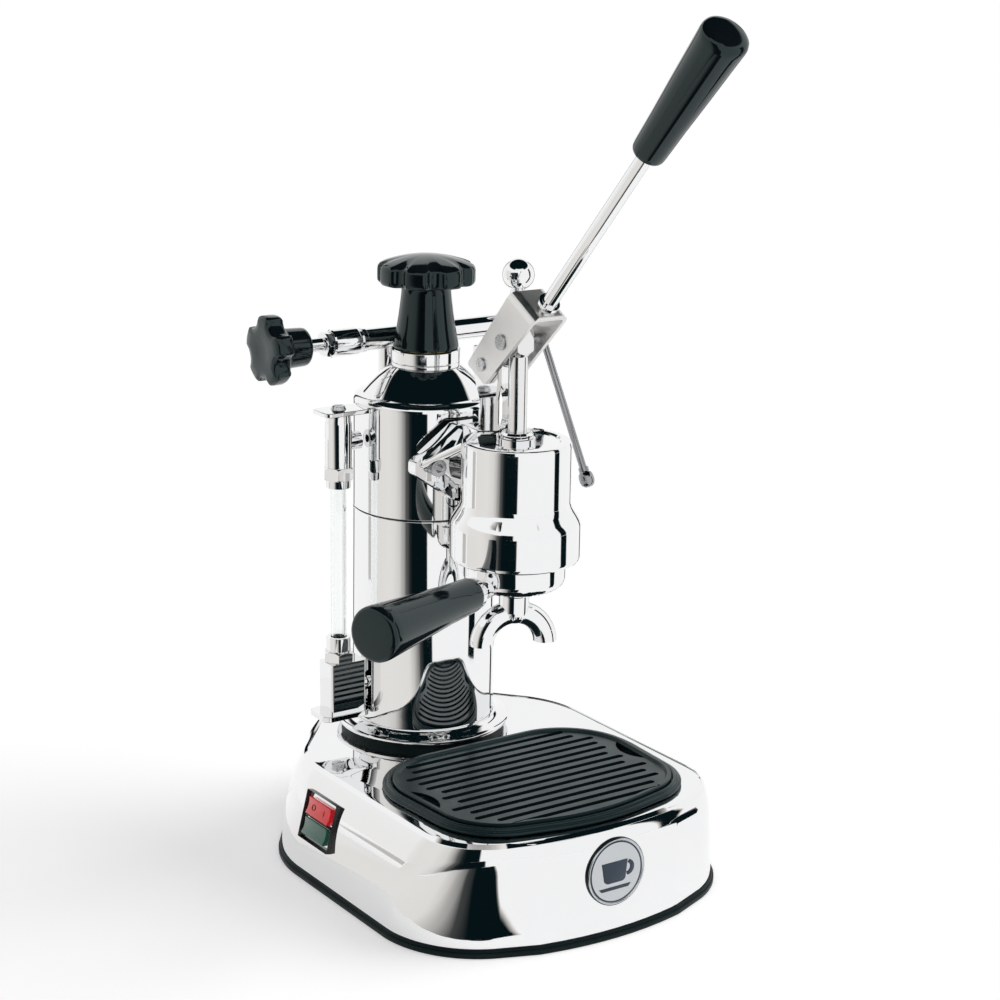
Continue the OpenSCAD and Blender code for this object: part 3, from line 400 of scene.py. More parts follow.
def at(x=0.0, y=0.0, z=0.0, turn_x=0.0, turn_y=0.0, turn_z=0.0):
    """Placement in millimetres and degrees."""
    return (Matrix.Translation(Vector((x, y, z)) * MM)
            @ Matrix.Rotation(math.radians(turn_z), 4, "Z")
            @ Matrix.Rotation(math.radians(turn_y), 4, "Y")
            @ Matrix.Rotation(math.radians(turn_x), 4, "X"))


def along_pipe(x):
    """On the steam pipe's axis, with +Z of the piece along +X."""
    return at(x, PIPE_Y, PIPE_Z, turn_y=90)


def repaint(node, paint):
    """Gives a CAD node that keeps its shape a finish."""
    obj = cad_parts[node]
    for slot in obj.material_slots:
        slot.material = PAINT[paint]
    if not obj.material_slots:
        obj.data.materials.append(PAINT[paint])


# ------------------------------------------------------------------ base form
NORMALS = [math.radians(a) for a in range(0, 360, 3)]
CURL_REACH = 3.7            # how far past the top the side curl's ellipse ends
CORNER_R, CORNER_CURL = 56, 18
HIP_R, HIP_Y = 68, -31      # the widest part, beside the boiler
BACK_R = 75                 # round the boiler at the back
FRONT_BOW, FRONT_BOW_MORE = 190, 50
BOW_HALF = 44
TRAY_FRONT, TRAY_BOW, TRAY_BOW_HALF = 171, 120, 34


def outline(circles, front, bow, bow_half, out, z):
    """Points round a row of circles whose front edge bows out, moved outward."""
    points = []
    for a in NORMALS:
        nx, ny = math.cos(a), math.sin(a)
        best = max(circles, key=lambda c: c[0] * nx + c[1] * ny + c[2])
        reach = best[0] * nx + best[1] * ny + best[2]
        x, y = best[0] + nx * best[2], best[1] + ny * best[2]
        if ny < 0:
            swing = max(-bow_half, min(bow_half, bow * nx))
            drop = -front + bow - math.sqrt(bow ** 2 - swing ** 2)
            if swing * nx + drop * ny > reach:
                x, y = swing, drop
        points.append(Vector((x + nx * out, y + ny * out, z)) * MM)
    return points


def curl(z):
    """Share of the side curl reached at height z, in millimetres."""
    top = settings().top / MM
    reach = top + CURL_REACH
    return ((1 - math.sqrt(1 - (z / reach) ** 2))
            / (1 - math.sqrt(1 - (top / reach) ** 2)))


def lean(z):
    """Share of the front wall's lean at height z: straight, then bent in."""
    top = settings().top / MM
    bend = max(0.0, z - top + 13) / 14
    return 0.35 * z / top + 1.033 * (1 - math.sqrt(1 - bend ** 2))


def base_outline(inward, level, z=None):
    """Points of the base's outline at a level, moved inward, placed at height z."""
    s = settings()
    z = level if z is None else z
    k, f = curl(level), lean(level)
    half, side = s.half_width / MM, s.side_curl / MM * k
    front = s.front / MM
    r = CORNER_R - CORNER_CURL * k
    circles = [(sx * (half - side - r), r - front + 8.9 + 4.6 * f, r) for sx in (-1, 1)]
    circles += [(sx * (half - HIP_R), HIP_Y, HIP_R - side) for sx in (-1, 1)]
    circles.append((0, 0, BACK_R - CORNER_CURL * k))
    return outline(circles, front - s.front_lean / MM * f,
                   FRONT_BOW + FRONT_BOW_MORE * f, BOW_HALF, -inward, z)


def tray_outline(out, z):
    """Points of the tray's outline, moved outward by `out`."""
    circles = [(sx * 32, -94.5, 44) for sx in (-1, 1)]
    circles += [(sx * 36, -127, 38) for sx in (-1, 1)]
    return outline(circles, TRAY_FRONT, TRAY_BOW, TRAY_BOW_HALF, out, z)


def circle_points(radius, z, count=96):
    """Points of a circle round the boiler's axis."""
    return [Vector((radius * math.cos(ROUND * i / count),
                    radius * math.sin(ROUND * i / count), z)) * MM
            for i in range(count)]


def fill_between(bm, *rings):
    """A flat sheet between an outer ring of edges and the holes in it."""
    edges = [e for ring in rings for e in ring]
    bmesh.ops.triangle_fill(bm, use_beauty=True, use_dissolve=False,
                            edges=edges, normal=(0, 0, 1))


class ESPRESSO_OT_base_shell(bpy.types.Operator):
    """Pressed chrome shell of the base, with its tray and boiler holes"""

    bl_idname = "espresso.base_shell"
    bl_label = "Base shell"

    def execute(self, context):
        top = settings().top / MM
        bm = bmesh.new()
        levels = [1.6 + (top - 1.6) * (1 - (1 - i / 22) ** 1.7) for i in range(23)]
        rings = [base_outline(0, z) for z in levels[:-1]]
        rings += [base_outline(0.0, top - 0.5), base_outline(0.35, top - 0.12),
                  base_outline(1.1, top), base_outline(3.2, top)]
        _, rim = loft(bm, rings)
        _, hole = vert_ring(bm, tray_outline(-6.2, top))
        _, well = vert_ring(bm, circle_points(40.0, top))
        fill_between(bm, rim, hole, well)
        bmesh.ops.recalc_face_normals(bm, faces=bm.faces)
        if max(bm.faces, key=lambda f: f.calc_area()).normal.z < -0.5:
            bmesh.ops.reverse_faces(bm, faces=bm.faces)
        piece = finish_mesh(bm, "base_shell_pressed", "machine", "chrome",
                            ("base_shell",), sharp=60)
        wall = piece.modifiers.new("Sheet", "SOLIDIFY")
        wall.thickness = settings().sheet * 0.8
        wall.offset = -1
        weighted(piece)
        return {"FINISHED"}


class ESPRESSO_OT_base_trim(bpy.types.Operator):
    """Rubber edging round the foot of the base, and the plate under it"""

    bl_idname = "espresso.base_trim"
    bl_label = "Rubber edging"

    def execute(self, context):
        profile = [(4.0, 0.0), (-0.8, 0.0), (-1.5, 0.15), (-1.78, 0.6), (-1.8, 2.4),
                   (-1.7, 2.9), (-1.3, 3.15), (-0.95, 3.2), (-0.9, 3.9),
                   (-0.7, 4.35), (-0.3, 4.5), (0.15, 4.3), (0.2, 2.0), (4.0, 1.6)]
        bm = bmesh.new()
        loft(bm, [base_outline(d, 0, z) for d, z in profile], closed=True)
        bmesh.ops.recalc_face_normals(bm, faces=bm.faces)
        finish_mesh(bm, "base_edging", "machine", "rubber", ("base_trim",), sharp=50)
        repaint("bottom_plate", "tray")
        repaint("plate_screws", "steel")
        repaint("cable_gland", "rubber")
        return {"FINISHED"}


def badge_place():
    """On the front wall, leaning with it."""
    z = 35.7
    y = -settings().front / MM + settings().front_lean / MM * lean(z)
    return at(0, y, z, turn_x=87.4)


class ESPRESSO_OT_badge(bpy.types.Operator):
    """Round badge with a plain cup emblem"""

    bl_idname = "espresso.badge"
    bl_label = "Badge"

    def execute(self, context):
        turned("badge_plate", "machine", "satin",
               [(0, -1.2), (17.7, -1.2), (17.7, 0.6), (17.3, 1.1), (16.9, 1.1),
                (16.4, 0.62), (0, 0.62)], ("badge_disc",), badge_place(), 0.15)
        turned("badge_groove", "machine", "enamel",
               [(15.5, 0.3), (16.35, 0.3), (16.35, 0.7), (15.5, 0.7), (15.5, 0.3)],
               (), badge_place(), 0.0)
        turned("badge_edge", "machine", "rubber",
               [(17.65, -1.2), (18, -1.2), (18, 0.45), (17.65, 0.55), (17.65, -1.2)],
               (), badge_place(), 0.0)
        bm = bmesh.new()
        for shape in cup_outlines():
            pushed_out(bm, [(x, y, 0.65) for x, y in shape], (0, 0, 0.35))
        bmesh.ops.recalc_face_normals(bm, faces=bm.faces)
        soften(bm, 0.1, 2, 50)
        finish_mesh(bm, "badge_cup", "machine", "enamel", ("badge_emblem",),
                    badge_place())
        return {"FINISHED"}


def arc(cx, cy, radius, start, end, count=10):
    """Points on a circle from start to end, in degrees."""
    return [(cx + radius * math.cos(math.radians(start + (end - start) * i / count)),
             cy + radius * math.sin(math.radians(start + (end - start) * i / count)))
            for i in range(count + 1)]


def cup_outlines():
    """Bowl, saucer and handle of the cup, in millimetres."""
    bowl = [(-9, 5.5)] + arc(-5.2, -3.0, 2.6, 200, 270, 5) + \
        arc(3.2, -3.0, 2.6, 270, 340, 5) + [(7, 5.5)]
    saucer = [(-11, -7.8), (-9.4, -9.4), (7.4, -9.4), (9, -7.8)]
    handle = arc(7.0, 1, 4.2, 70, -90, 12) + arc(6.4, 1, 2.5, -90, 70, 10)
    return [bowl, saucer, handle]


ROCKER_DZ = 5.57
ROCKER_TILT = -4


def switch_place(dz=0.0, tilt=0.0):
    """On the left wall, with +X of the piece pointing out of it."""
    z = 36.0
    x = -(settings().half_width / MM - settings().side_curl / MM * curl(z))
    return (at(x, -48, z, turn_z=180) @ at(turn_y=-14) @ at(0, 0, dz)
            @ at(turn_y=tilt))


def block(bm, low, high):
    """A box from its corners, in millimetres."""
    made = bmesh.ops.create_cube(bm, size=1.0)["verts"]
    size = [(h - l) * MM for l, h in zip(low, high)]
    mid = [(h + l) / 2 * MM for l, h in zip(low, high)]
    bmesh.ops.scale(bm, vec=size, verts=made)
    bmesh.ops.translate(bm, vec=mid, verts=made)
    return made


class ESPRESSO_OT_switch(bpy.types.Operator):
    """Switch frame with a lit power rocker and a heat rocker"""

    bl_idname = "espresso.switch"
    bl_label = "Switch"

    def execute(self, context):
        bm = bmesh.new()
        block(bm, (-6, -15, -13.2), (2.25, 15, 13.2))
        front = [f for f in bm.faces if f.normal.x > 0.9]
        bmesh.ops.inset_region(bm, faces=front, thickness=2.6 * MM)
        middle = [f for f in bm.faces if f.normal.x > 0.9
                  and abs(f.calc_center_median().y) < 0.001
                  and abs(f.calc_center_median().z) < 0.001]
        bmesh.ops.translate(bm, vec=(-7 * MM, 0, 0),
                            verts=list({v for f in middle for v in f.verts}))
        block(bm, (-5.9, -12.5, -0.35), (1.6, 12.5, 0.35))
        soften(bm, 0.7, 3)
        finish_mesh(bm, "switch_frame", "machine", "bezel", ("switch_bezel",),
                    switch_place())
        for name, dz, paint, node, body in (
                ("power_key", ROCKER_DZ, "lamp", "power_rocker", "power_switch"),
                ("heat_key", -ROCKER_DZ, "heat", "heat_rocker", "heat_switch")):
            bm = bmesh.new()
            side = [(-6.4, -3), (1.7, -4.72), (2.9, -4.5), (2.25, -2), (2.05, 0),
                    (2.25, 2), (2.9, 4.5), (1.7, 4.72), (-6.4, 3)]
            pushed_out(bm, [(x, -11.1, z) for x, z in side], (0, 22.2, 0))
            bmesh.ops.recalc_face_normals(bm, faces=bm.faces)
            soften(bm, 0.45, 3, 12)
            finish_mesh(bm, name, body, paint, (node,), switch_place(dz, ROCKER_TILT))
        bm = bmesh.new()
        turn(bm, [(1.25, 0), (1.75, 0), (1.75, 0.35), (1.25, 0.35), (1.25, 0)], 40)
        bmesh.ops.transform(bm, matrix=at(2.0, -5.2, 0, turn_y=90), verts=bm.verts)
        block(bm, (2.0, 5.0, -1.7), (2.32, 5.5, 1.7))
        finish_mesh(bm, "power_marks", "power_switch", "mark", (),
                    switch_place(ROCKER_DZ, ROCKER_TILT))
        return {"FINISHED"}


# ------------------------------------------------------------------ drip tray
TRAY_Z = 58.6


class ESPRESSO_OT_drip_tray(bpy.types.Operator):
    """Drip tray with its stepped rim and bowl"""

    bl_idname = "espresso.drip_tray"
    bl_label = "Drip tray"

    def execute(self, context):
        z = TRAY_Z
        profile = [(-9.0, z + 1.8), (-9.2, z - 3), (-10.2, z - 15.2), (-12, z - 17),
                   (-30, z - 17.0)]
        outer = [(-30, z - 19), (-10, z - 19), (-8.2, z - 17.4), (-7, z),
                 (0.1, z), (0.8, z + 0.45), (1.0, z + 1.1), (0.95, z + 1.7),
                 (0.5, z + 2.3), (-0.4, z + 2.5), (-1.2, z + 2.55), (-1.45, z + 2.9),
                 (-1.55, z + 3.3), (-1.8, z + 3.65), (-2.3, z + 3.8), (-3.1, z + 3.8),
                 (-3.7, z + 3.5), (-3.9, z + 3.0), (-3.9, z + 1.8)]
        bm = bmesh.new()
        loft(bm, [tray_outline(d, h) for d, h in outer + profile],
             cap_start=True, cap_end=True)
        bmesh.ops.recalc_face_normals(bm, faces=bm.faces)
        finish_mesh(bm, "drip_tray_moulded", "tray", "tray", ("drip_tray",), sharp=55)
        return {"FINISHED"}


class ESPRESSO_OT_drip_grille(bpy.types.Operator):
    """Slotted grille with a raised rim and two finger notches"""

    bl_idname = "espresso.drip_grille"
    bl_label = "Drip grille"

    def execute(self, context):
        copied("drip_grille", "grille", "tray", 0.5, 38, 3)
        return {"FINISHED"}


# ------------------------------------------------------------------ boiler
class ESPRESSO_OT_boiler(bpy.types.Operator):
    """Boiler column: flange ring, two halves, seam and filler neck"""

    bl_idname = "espresso.boiler"
    bl_label = "Boiler"

    def execute(self, context):
        turned("boiler_ring", "machine", "chrome",
               [(39.7, 61.9), (46.9, 61.9), (47.9, 62.3), (48.2, 63), (48.2, 63.8),
                (47.6, 64.5), (46.3, 65), (43.6, 65.8), (42.3, 66.6), (41.2, 67.6),
                (39.7, 67.7), (39.7, 61.9)], ("boiler_flange",), None, 0.15, 160, 50)
        repaint("flange_seal", "rubber")
        turned("boiler_tube_lower", "machine", "chrome",
               [(21, 50), (38.6, 50), (39.6, 51), (39.6, 186.3), (39.2, 186.7),
                (37.6, 186.7), (37.6, 53), (21, 53), (21, 50)],
               ("boiler_lower",), None, 0.2, 180)
        turned("boiler_tube_upper", "machine", "chrome",
               [(37.6, 187.3), (39.2, 187.3), (39.6, 187.7), (39.6, 246.2),
                (39.3, 247.7), (38.5, 248.9), (37.2, 249.8), (35.6, 250.3),
                (34.2, 250.7), (30.6, 254.9), (26.1, 259.5), (21.9, 263.1),
                (18.9, 265), (12.5, 265), (12.5, 262.5), (24.6, 257.5),
                (32.6, 248.5), (37.6, 246.5), (37.6, 187.3)],
               ("boiler_upper",), None, 0.0, 180, 28)
        turned("boiler_collar", "machine", "chrome",
               [(12.3, 265.05), (18.4, 265.05), (18.9, 265.6), (18.9, 267.2),
                (18.5, 267.6), (18.9, 268), (18.9, 273.9), (18.3, 274.5),
                (15.5, 274.5), (15.5, 270.5), (12.3, 270.5), (12.3, 265.05)],
               ("neck_collar",), None, 0.15, 120)
        turned("boiler_joint", "machine", "rubber",
               [(37.6, 186.7), (38.7, 186.7), (38.7, 187.3), (37.6, 187.3),
                (37.6, 186.7)], ("boiler_seal",), None, 0.1, 120)
        repaint("boiler_nut", "brass")
        repaint("heating_element", "steel")
        return {"FINISHED"}


def lobed_head(radius, lobes, bite, bite_at, profile, stem=9999):
    """A turned head with round scallops in its rim; past the height stem it stays round."""
    bm = bmesh.new()
    turn(bm, profile, 144)
    for v in bm.verts:
        r = math.hypot(v.co.x, v.co.y) / MM
        if r < 0.45 * radius or v.co.z > stem * MM:
            continue
        a = math.atan2(v.co.y, v.co.x) * lobes / ROUND
        off = abs((a % 1.0) - 0.5) * ROUND / lobes
        side = bite_at * math.sin(off)
        if side < bite:
            limit = bite_at * math.cos(off) - math.sqrt(bite ** 2 - side ** 2)
            if limit < radius:
                keep = 1 - (1 - limit / radius) * min(1, (r / radius) ** 1.5)
                v.co.x *= keep
                v.co.y *= keep
    bmesh.ops.recalc_face_normals(bm, faces=bm.faces)
    return bm


class ESPRESSO_OT_boiler_cap(bpy.types.Operator):
    """Boiler cap: lobed knob on a tapered stem, with its plug"""

    bl_idname = "espresso.boiler_cap"
    bl_label = "Boiler cap"

    def execute(self, context):
        bm = lobed_head(26.6, 8, 5.4, 28.8, [
            (0, 309.4), (15, 309.4), (23.4, 309.6), (25.6, 310.1), (26.5, 311.2),
            (26.6, 312.6), (26.6, 317.6), (26.3, 319.2), (25.2, 320.6),
            (22.6, 321.8), (19, 322.9), (14, 324.2), (8, 325.2), (3, 325.6),
            (0, 325.7)])
        finish_mesh(bm, "cap_head", "cap", "phenolic", (), sharp=60)
        turned("cap_stem", "cap", "phenolic",
               [(15.3, 274.85), (17.0, 274.8), (17.7, 275.2), (17.85, 276.2),
                (17.7, 277.6), (16.9, 281.5), (15.9, 286.8), (15.0, 292.8),
                (14.2, 299), (13.6, 304.4), (13.5, 307), (14.0, 308.6),
                (15.4, 309.5), (15.4, 310.5), (0, 310.5), (0, 276.5),
                (15.3, 276.5), (15.3, 274.85)], ("cap_knob",), None, 0.0, 120, 50)
        repaint("cap_plug", "brass")
        repaint("cap_gasket", "gasket")
        return {"FINISHED"}


# ------------------------------------------------------------------ sight glass
class ESPRESSO_OT_sight_glass(bpy.types.Operator):
    """Sight glass: glass tube between two fittings with nuts and plates"""

    bl_idname = "espresso.sight_glass"
    bl_label = "Sight glass"

    def execute(self, context):
        for node in ("gauge_top_plate", "gauge_bottom_plate", "gauge_fittings",
                     "gauge_nuts"):
            copied(node, "machine", "chrome", 0.35)
        copied("gauge_screws", "machine", "steel", 0.2)
        turned("gauge_tube", "machine", "glass",
               [(3.1, 99), (4.2, 99), (4.2, 221), (3.1, 221), (3.1, 99)],
               ("gauge_glass",), at(GAUGE_X), 0.2, 64)
        repaint("gauge_seals", "rubber")
        return {"FINISHED"}


# ------------------------------------------------------------------ steam side
class ESPRESSO_OT_steam_valve(bpy.types.Operator):
    """Steam pipe with its valve body, gland nut, spindle and lobed knob"""

    bl_idname = "espresso.steam_valve"
    bl_label = "Steam valve"

    def execute(self, context):
        copied("steam_manifold", "machine", "chrome", 0.3)
        copied("steam_gland_nut", "machine", "chrome", 0.3)
        turned("valve_spindle", "steam_valve", "chrome",
               [(0, 0), (2.5, 0), (2.5, 10.7), (3.4, 10.7), (3.9, 11.2), (3.9, 20.2),
                (3.4, 20.7), (2.5, 20.7), (2.5, 34), (0.6, 37), (0, 37)],
               ("steam_spindle",), along_pipe(-71), 0.15, 48)
        bm = lobed_head(19, 5, 8.2, 22.7, [
            (0, 1.0), (6, 0.5), (12, 0.15), (16.6, 0.3), (18.1, 0.9), (18.8, 1.9),
            (19, 3.2), (19, 8.4), (18.6, 9.7), (17.5, 10.6), (14.2, 11.0),
            (12.0, 11.5), (11.2, 12.3), (10.95, 13.6), (10.5, 24.2), (10.2, 25.7),
            (9.4, 26.5), (8.2, 26.8), (2.55, 26.8), (2.55, 25.5), (0, 25.5)],
            stem=11.3)
        finish_mesh(bm, "valve_knob", "steam_valve", "phenolic", ("steam_knob",),
                    along_pipe(-77) @ at(0, 0, -10.6, turn_z=36), 60)
        return {"FINISHED"}


class ESPRESSO_OT_safety_valve(bpy.types.Operator):
    """Safety valve with a ball top"""

    bl_idname = "espresso.safety_valve"
    bl_label = "Safety valve"

    def execute(self, context):
        ball = arc(0, 304.2, 9.4, -64, 90, 30)
        turned("safety_ball", "machine", "chrome",
               [(0, 284.6), (5.6, 284.6), (6.3, 285.3), (6.3, 289.6), (5.3, 290.9),
                (4.5, 294.4)] + [(max(0, x), z) for x, z in ball],
               ("safety_valve",), at(78.3, PIPE_Y), 0.2, 72)
        return {"FINISHED"}


class ESPRESSO_OT_steam_wand(bpy.types.Operator):
    """Steam wand with its swivel nut and perforated tip"""

    bl_idname = "espresso.steam_wand"
    bl_label = "Steam wand"

    def execute(self, context):
        copied("wand_nut", "machine", "chrome", 0.2)
        copied("steam_wand", "wand", "pipe", 0.2)
        copied("wand_tip", "wand", "pipe", 0.2)
        return {"FINISHED"}


# ------------------------------------------------------------------ group
class ESPRESSO_OT_group(bpy.types.Operator):
    """Group: bell-shaped body, neck, ears, bolts and gland"""

    bl_idname = "espresso.group"
    bl_label = "Group"

    def execute(self, context):
        copied("group_body", "machine", "chrome", 0.5)
        copied("group_bolts", "machine", "steel", 0.2)
        copied("rod_gland", "machine", "chrome", 0.2)
        for node, paint in (("flange_gasket", "rubber"), ("cylinder_sleeve", "brass"),
                            ("shower_screen", "steel"), ("group_gasket", "rubber"),
                            ("piston", "brass"), ("piston_seals", "rubber")):
            repaint(node, paint)
        copied("piston_rod", "piston_unit", "rod_steel", 0.3)
        return {"FINISHED"}


# ------------------------------------------------------------------ portafilter
class ESPRESSO_OT_portafilter(bpy.types.Operator):
    """Portafilter with its handle, basket and double spout"""

    bl_idname = "espresso.portafilter"
    bl_label = "Portafilter"

    def execute(self, context):
        copied("portafilter_body", "portafilter", "chrome", 0.3)
        copied("double_spout", "portafilter", "chrome", 0.3)
        grip = at(0, GROUP_Y, SPOUT_Z, turn_z=HANDLE_TURN) @ at(turn_y=90)
        turned("handle_collar", "portafilter", "chrome",
               [(4.05, 36.2), (7.6, 36.2), (8.4, 37), (8.8, 40.2), (4.05, 40.2),
                (4.05, 36.2)], ("handle_ferrule",), grip, 0.3, 72)
        turned("handle_grip", "portafilter", "phenolic",
               [(4.05, 40.3), (8.2, 40.3), (9.0, 40.8), (9.25, 42), (9.4, 48.3),
                (10.4, 66.3), (12.0, 88.3), (13.5, 107.4), (14.15, 115.2),
                (14.3, 118.6), (14.1, 120.6), (13.3, 121.9), (11.8, 122.4),
                (6, 122.65), (0, 122.7)], ("portafilter_handle",), grip, 0.0, 96, 60)
        repaint("filter_basket", "steel")
        repaint("basket_spring", "steel")
        return {"FINISHED"}


# ------------------------------------------------------------------ lever
class ESPRESSO_OT_lever(bpy.types.Operator):
    """Hand lever: fork, pins, rod and grip"""

    bl_idname = "espresso.lever"
    bl_label = "Lever"

    def execute(self, context):
        place = at(0, LEVER_PIN_Y, LEVER_PIN_Z, turn_x=LEVER_TURN)
        copied("lever_fork", "lever", "cast", 0.5)
        copied("lever_pins", "lever", "steel", 0.25)
        repaint("pin_rollers", "steel")
        turned("lever_bar", "lever", "chrome",
               [(0, 1), (4, 1), (4, 8.7), (5.8, 8.7), (5.8, 10.9), (4, 10.9),
                (4, 142.5), (0, 142.5)], ("lever_rod",), place, 0.2, 72)
        turned("lever_handle", "lever", "phenolic",
               [(4.05, 122.5), (7.4, 122.5), (8.2, 122.9), (8.5, 124.1), (8.7, 127),
                (9.4, 145), (10.6, 168), (11.7, 192), (12.0, 197.6), (11.9, 199.6),
                (11.3, 201.2), (9.9, 202.3), (7.6, 203.0), (3.8, 203.4), (0, 203.5)],
               ("lever_grip",), place, 0.0, 96, 60)
        return {"FINISHED"}


# ------------------------------------------------------------------ stage
VIEW_AZIMUTH, VIEW_HEIGHT, VIEW_ROLL = 34.64, 14.94, 1.0
CAMERA_SPOT = (-0.6750, -1.0528, 0.5281)
CARD_CENTRE = Vector((0, -0.06, 0))


def away(azimuth):
    """Level unit vector out of the object; the camera is at 0, its right at 90."""
    view = math.radians(VIEW_AZIMUTH)
    a = math.radians(azimuth)
    toward = Vector((-math.sin(view), -math.cos(view), 0))
    right = Vector((math.cos(view), -math.sin(view), 0))
    return toward * math.cos(a) + right * math.sin(a)


def height(z):
    """Vector straight up."""
    return Vector((0, 0, z))


def card_paint():
    """Black card whose edge fades to white by the mesh's own shade."""
    mat = bpy.data.materials.new("card_paint")
    mat.use_nodes = True
    tree = mat.node_tree
    tree.nodes.clear()
    out = tree.nodes.new("ShaderNodeOutputMaterial")
    glow = tree.nodes.new("ShaderNodeEmission")
    shade = tree.nodes.new("ShaderNodeAttribute")
    shade.attribute_name = "shade"
    tone = tree.nodes.new("ShaderNodeValToRGB")
    ramp = tone.color_ramp
    ramp.elements[0].color = (0.002, 0.007, 0.009, 1)
    ramp.elements[1].color = (1, 1, 1, 1)
    warm = ramp.elements.new(0.8)
    warm.color = (0.82, 0.795, 0.765, 1)
    tree.links.new(shade.outputs["Fac"], tone.inputs["Fac"])
    tree.links.new(tone.outputs["Color"], glow.inputs["Color"])
    tree.links.new(glow.outputs[0], out.inputs["Surface"])
    return mat


def card(name, columns, mat):
    """A stage card that only reflections see: columns of (point, shade)."""
    bm = bmesh.new()
    layer = bm.verts.layers.float.new("shade")
    last = None
    for column in columns:
        made = []
        for point, shade in column:
            made.append(bm.verts.new(point))
            made[-1][layer] = shade
        if last:
            for i in range(len(made) - 1):
                bm.faces.new((last[i], made[i], made[i + 1], last[i + 1]))
        last = made
    mesh = bpy.data.meshes.new(name)
    bm.to_mesh(mesh)
    bm.free()
    mesh.materials.append(mat)
    obj = bpy.data.objects.new(name, mesh)
    bpy.context.scene.collection.objects.link(obj)
    obj.visible_camera = False
    obj.visible_diffuse = False
    obj.visible_shadow = False
    obj.visible_transmission = False
    return obj


def standing_card(name, stops, radius, top, mat):
    """An upright card round the object: stops of (azimuth, shade)."""
    return card(name, [[(CARD_CENTRE + away(a) * radius + height(z), shade)
                        for z in (0.0, top)] for a, shade in stops], mat)


def floor_wedge(name, stops, near, far, mat):
    """A sector of floor, seen only in reflections: stops of (azimuth, shade)."""
    centre = CARD_CENTRE + height(0.0008)
    return card(name, [[(centre + away(a) * r, shade) for r in (near, far)]
                       for a, shade in stops], mat)


def strip_stops(azimuth, spread, tone):
    """Stops of a narrow strip with soft sides."""
    return [(azimuth - spread, 0.9), (azimuth - spread + 1.5, tone),
            (azimuth + spread - 1.5, tone), (azimuth + spread, 0.9)]


def seen_rays(tree):
    """1 for rays from the camera and those that mirrors and glass pass on."""
    rays = tree.nodes.new("ShaderNodeLightPath")
    seen = rays.outputs["Is Camera Ray"]
    for kind in ("Is Glossy Ray", "Is Transmission Ray"):
        either = tree.nodes.new("ShaderNodeMath")
        either.operation = "MAXIMUM"
        tree.links.new(seen, either.inputs[0])
        tree.links.new(rays.outputs[kind], either.inputs[1])
        seen = either.outputs[0]
    return seen


def make_floor():
    """Pale floor that looks white and still takes a shadow."""
    bm = bmesh.new()
    bmesh.ops.create_grid(bm, x_segments=1, y_segments=1, size=30)
    mesh = bpy.data.meshes.new("floor")
    bm.to_mesh(mesh)
    bm.free()
    floor = bpy.data.objects.new("floor", mesh)
    bpy.context.scene.collection.objects.link(floor)
    mat = bpy.data.materials.new("floor")
    mat.use_nodes = True
    tree = mat.node_tree
    tree.nodes.clear()
    out = tree.nodes.new("ShaderNodeOutputMaterial")
    diffuse = tree.nodes.new("ShaderNodeBsdfDiffuse")
    diffuse.inputs["Color"].default_value = (0.86, 0.86, 0.86, 1)
    glow = tree.nodes.new("ShaderNodeEmission")
    glow.inputs["Strength"].default_value = bpy.context.scene.espresso_stage.floor_glow
    both = tree.nodes.new("ShaderNodeAddShader")
    pick = tree.nodes.new("ShaderNodeMixShader")
    link = tree.links.new
    link(diffuse.outputs[0], both.inputs[0])
    link(glow.outputs[0], both.inputs[1])
    link(seen_rays(tree), pick.inputs[0])
    link(diffuse.outputs[0], pick.inputs[1])
    link(both.outputs[0], pick.inputs[2])
    link(pick.outputs[0], out.inputs["Surface"])
    mesh.materials.append(mat)


def make_world():
    """White all round to look at, with a softer light of its own."""
    world = bpy.data.worlds.new("studio")
    bpy.context.scene.world = world
    world.use_nodes = True
    tree = world.node_tree
    tree.nodes.clear()
    out = tree.nodes.new("ShaderNodeOutputWorld")
    lit = tree.nodes.new("ShaderNodeBackground")
    lit.inputs["Color"].default_value = (1, 1, 1, 1)
    lit.inputs["Strength"].default_value = 0.34
    white = tree.nodes.new("ShaderNodeBackground")
    white.inputs["Color"].default_value = (1, 1, 1, 1)
    white.inputs["Strength"].default_value = 1.0
    pick = tree.nodes.new("ShaderNodeMixShader")
    link = tree.links.new
    link(seen_rays(tree), pick.inputs[0])
    link(lit.outputs[0], pick.inputs[1])
    link(white.outputs[0], pick.inputs[2])
    link(pick.outputs[0], out.inputs["Surface"])


def soft_sun(name, azimuth, elevation, spread, strength):
    """A wide, even light from one side, so the floor stays equally white."""
    e = math.radians(elevation)
    toward = away(azimuth) * math.cos(e) + height(math.sin(e))
    data = bpy.data.lights.new(name, "SUN")
    data.angle = math.radians(spread)
    data.energy = strength
    obj = bpy.data.objects.new(name, data)
    bpy.context.scene.collection.objects.link(obj)
    obj.rotation_mode = "QUATERNION"
    obj.rotation_quaternion = (-toward).to_track_quat("-Z", "Y")
    obj.visible_glossy = False


def make_camera(lens):
    """Camera to the left of the front, a little above, and slightly rolled."""
    el, roll = math.radians(VIEW_HEIGHT), math.radians(VIEW_ROLL)
    back = away(0) * math.cos(el) + height(math.sin(el))
    right = (-back).cross(height(1)).normalized()
    up = right.cross(-back)
    tilted = right * math.cos(roll) + up * math.sin(roll)
    upright = up * math.cos(roll) - right * math.sin(roll)
    data = bpy.data.cameras.new("camera")
    data.lens = lens
    data.sensor_width = 36
    data.shift_x, data.shift_y = -0.0026, -0.0094
    data.clip_end = 100
    camera = bpy.data.objects.new("camera", data)
    bpy.context.scene.collection.objects.link(camera)
    turn_to = Matrix((tilted, upright, back)).transposed().to_4x4()
    camera.matrix_world = Matrix.Translation(CAMERA_SPOT) @ turn_to
    bpy.context.scene.camera = camera


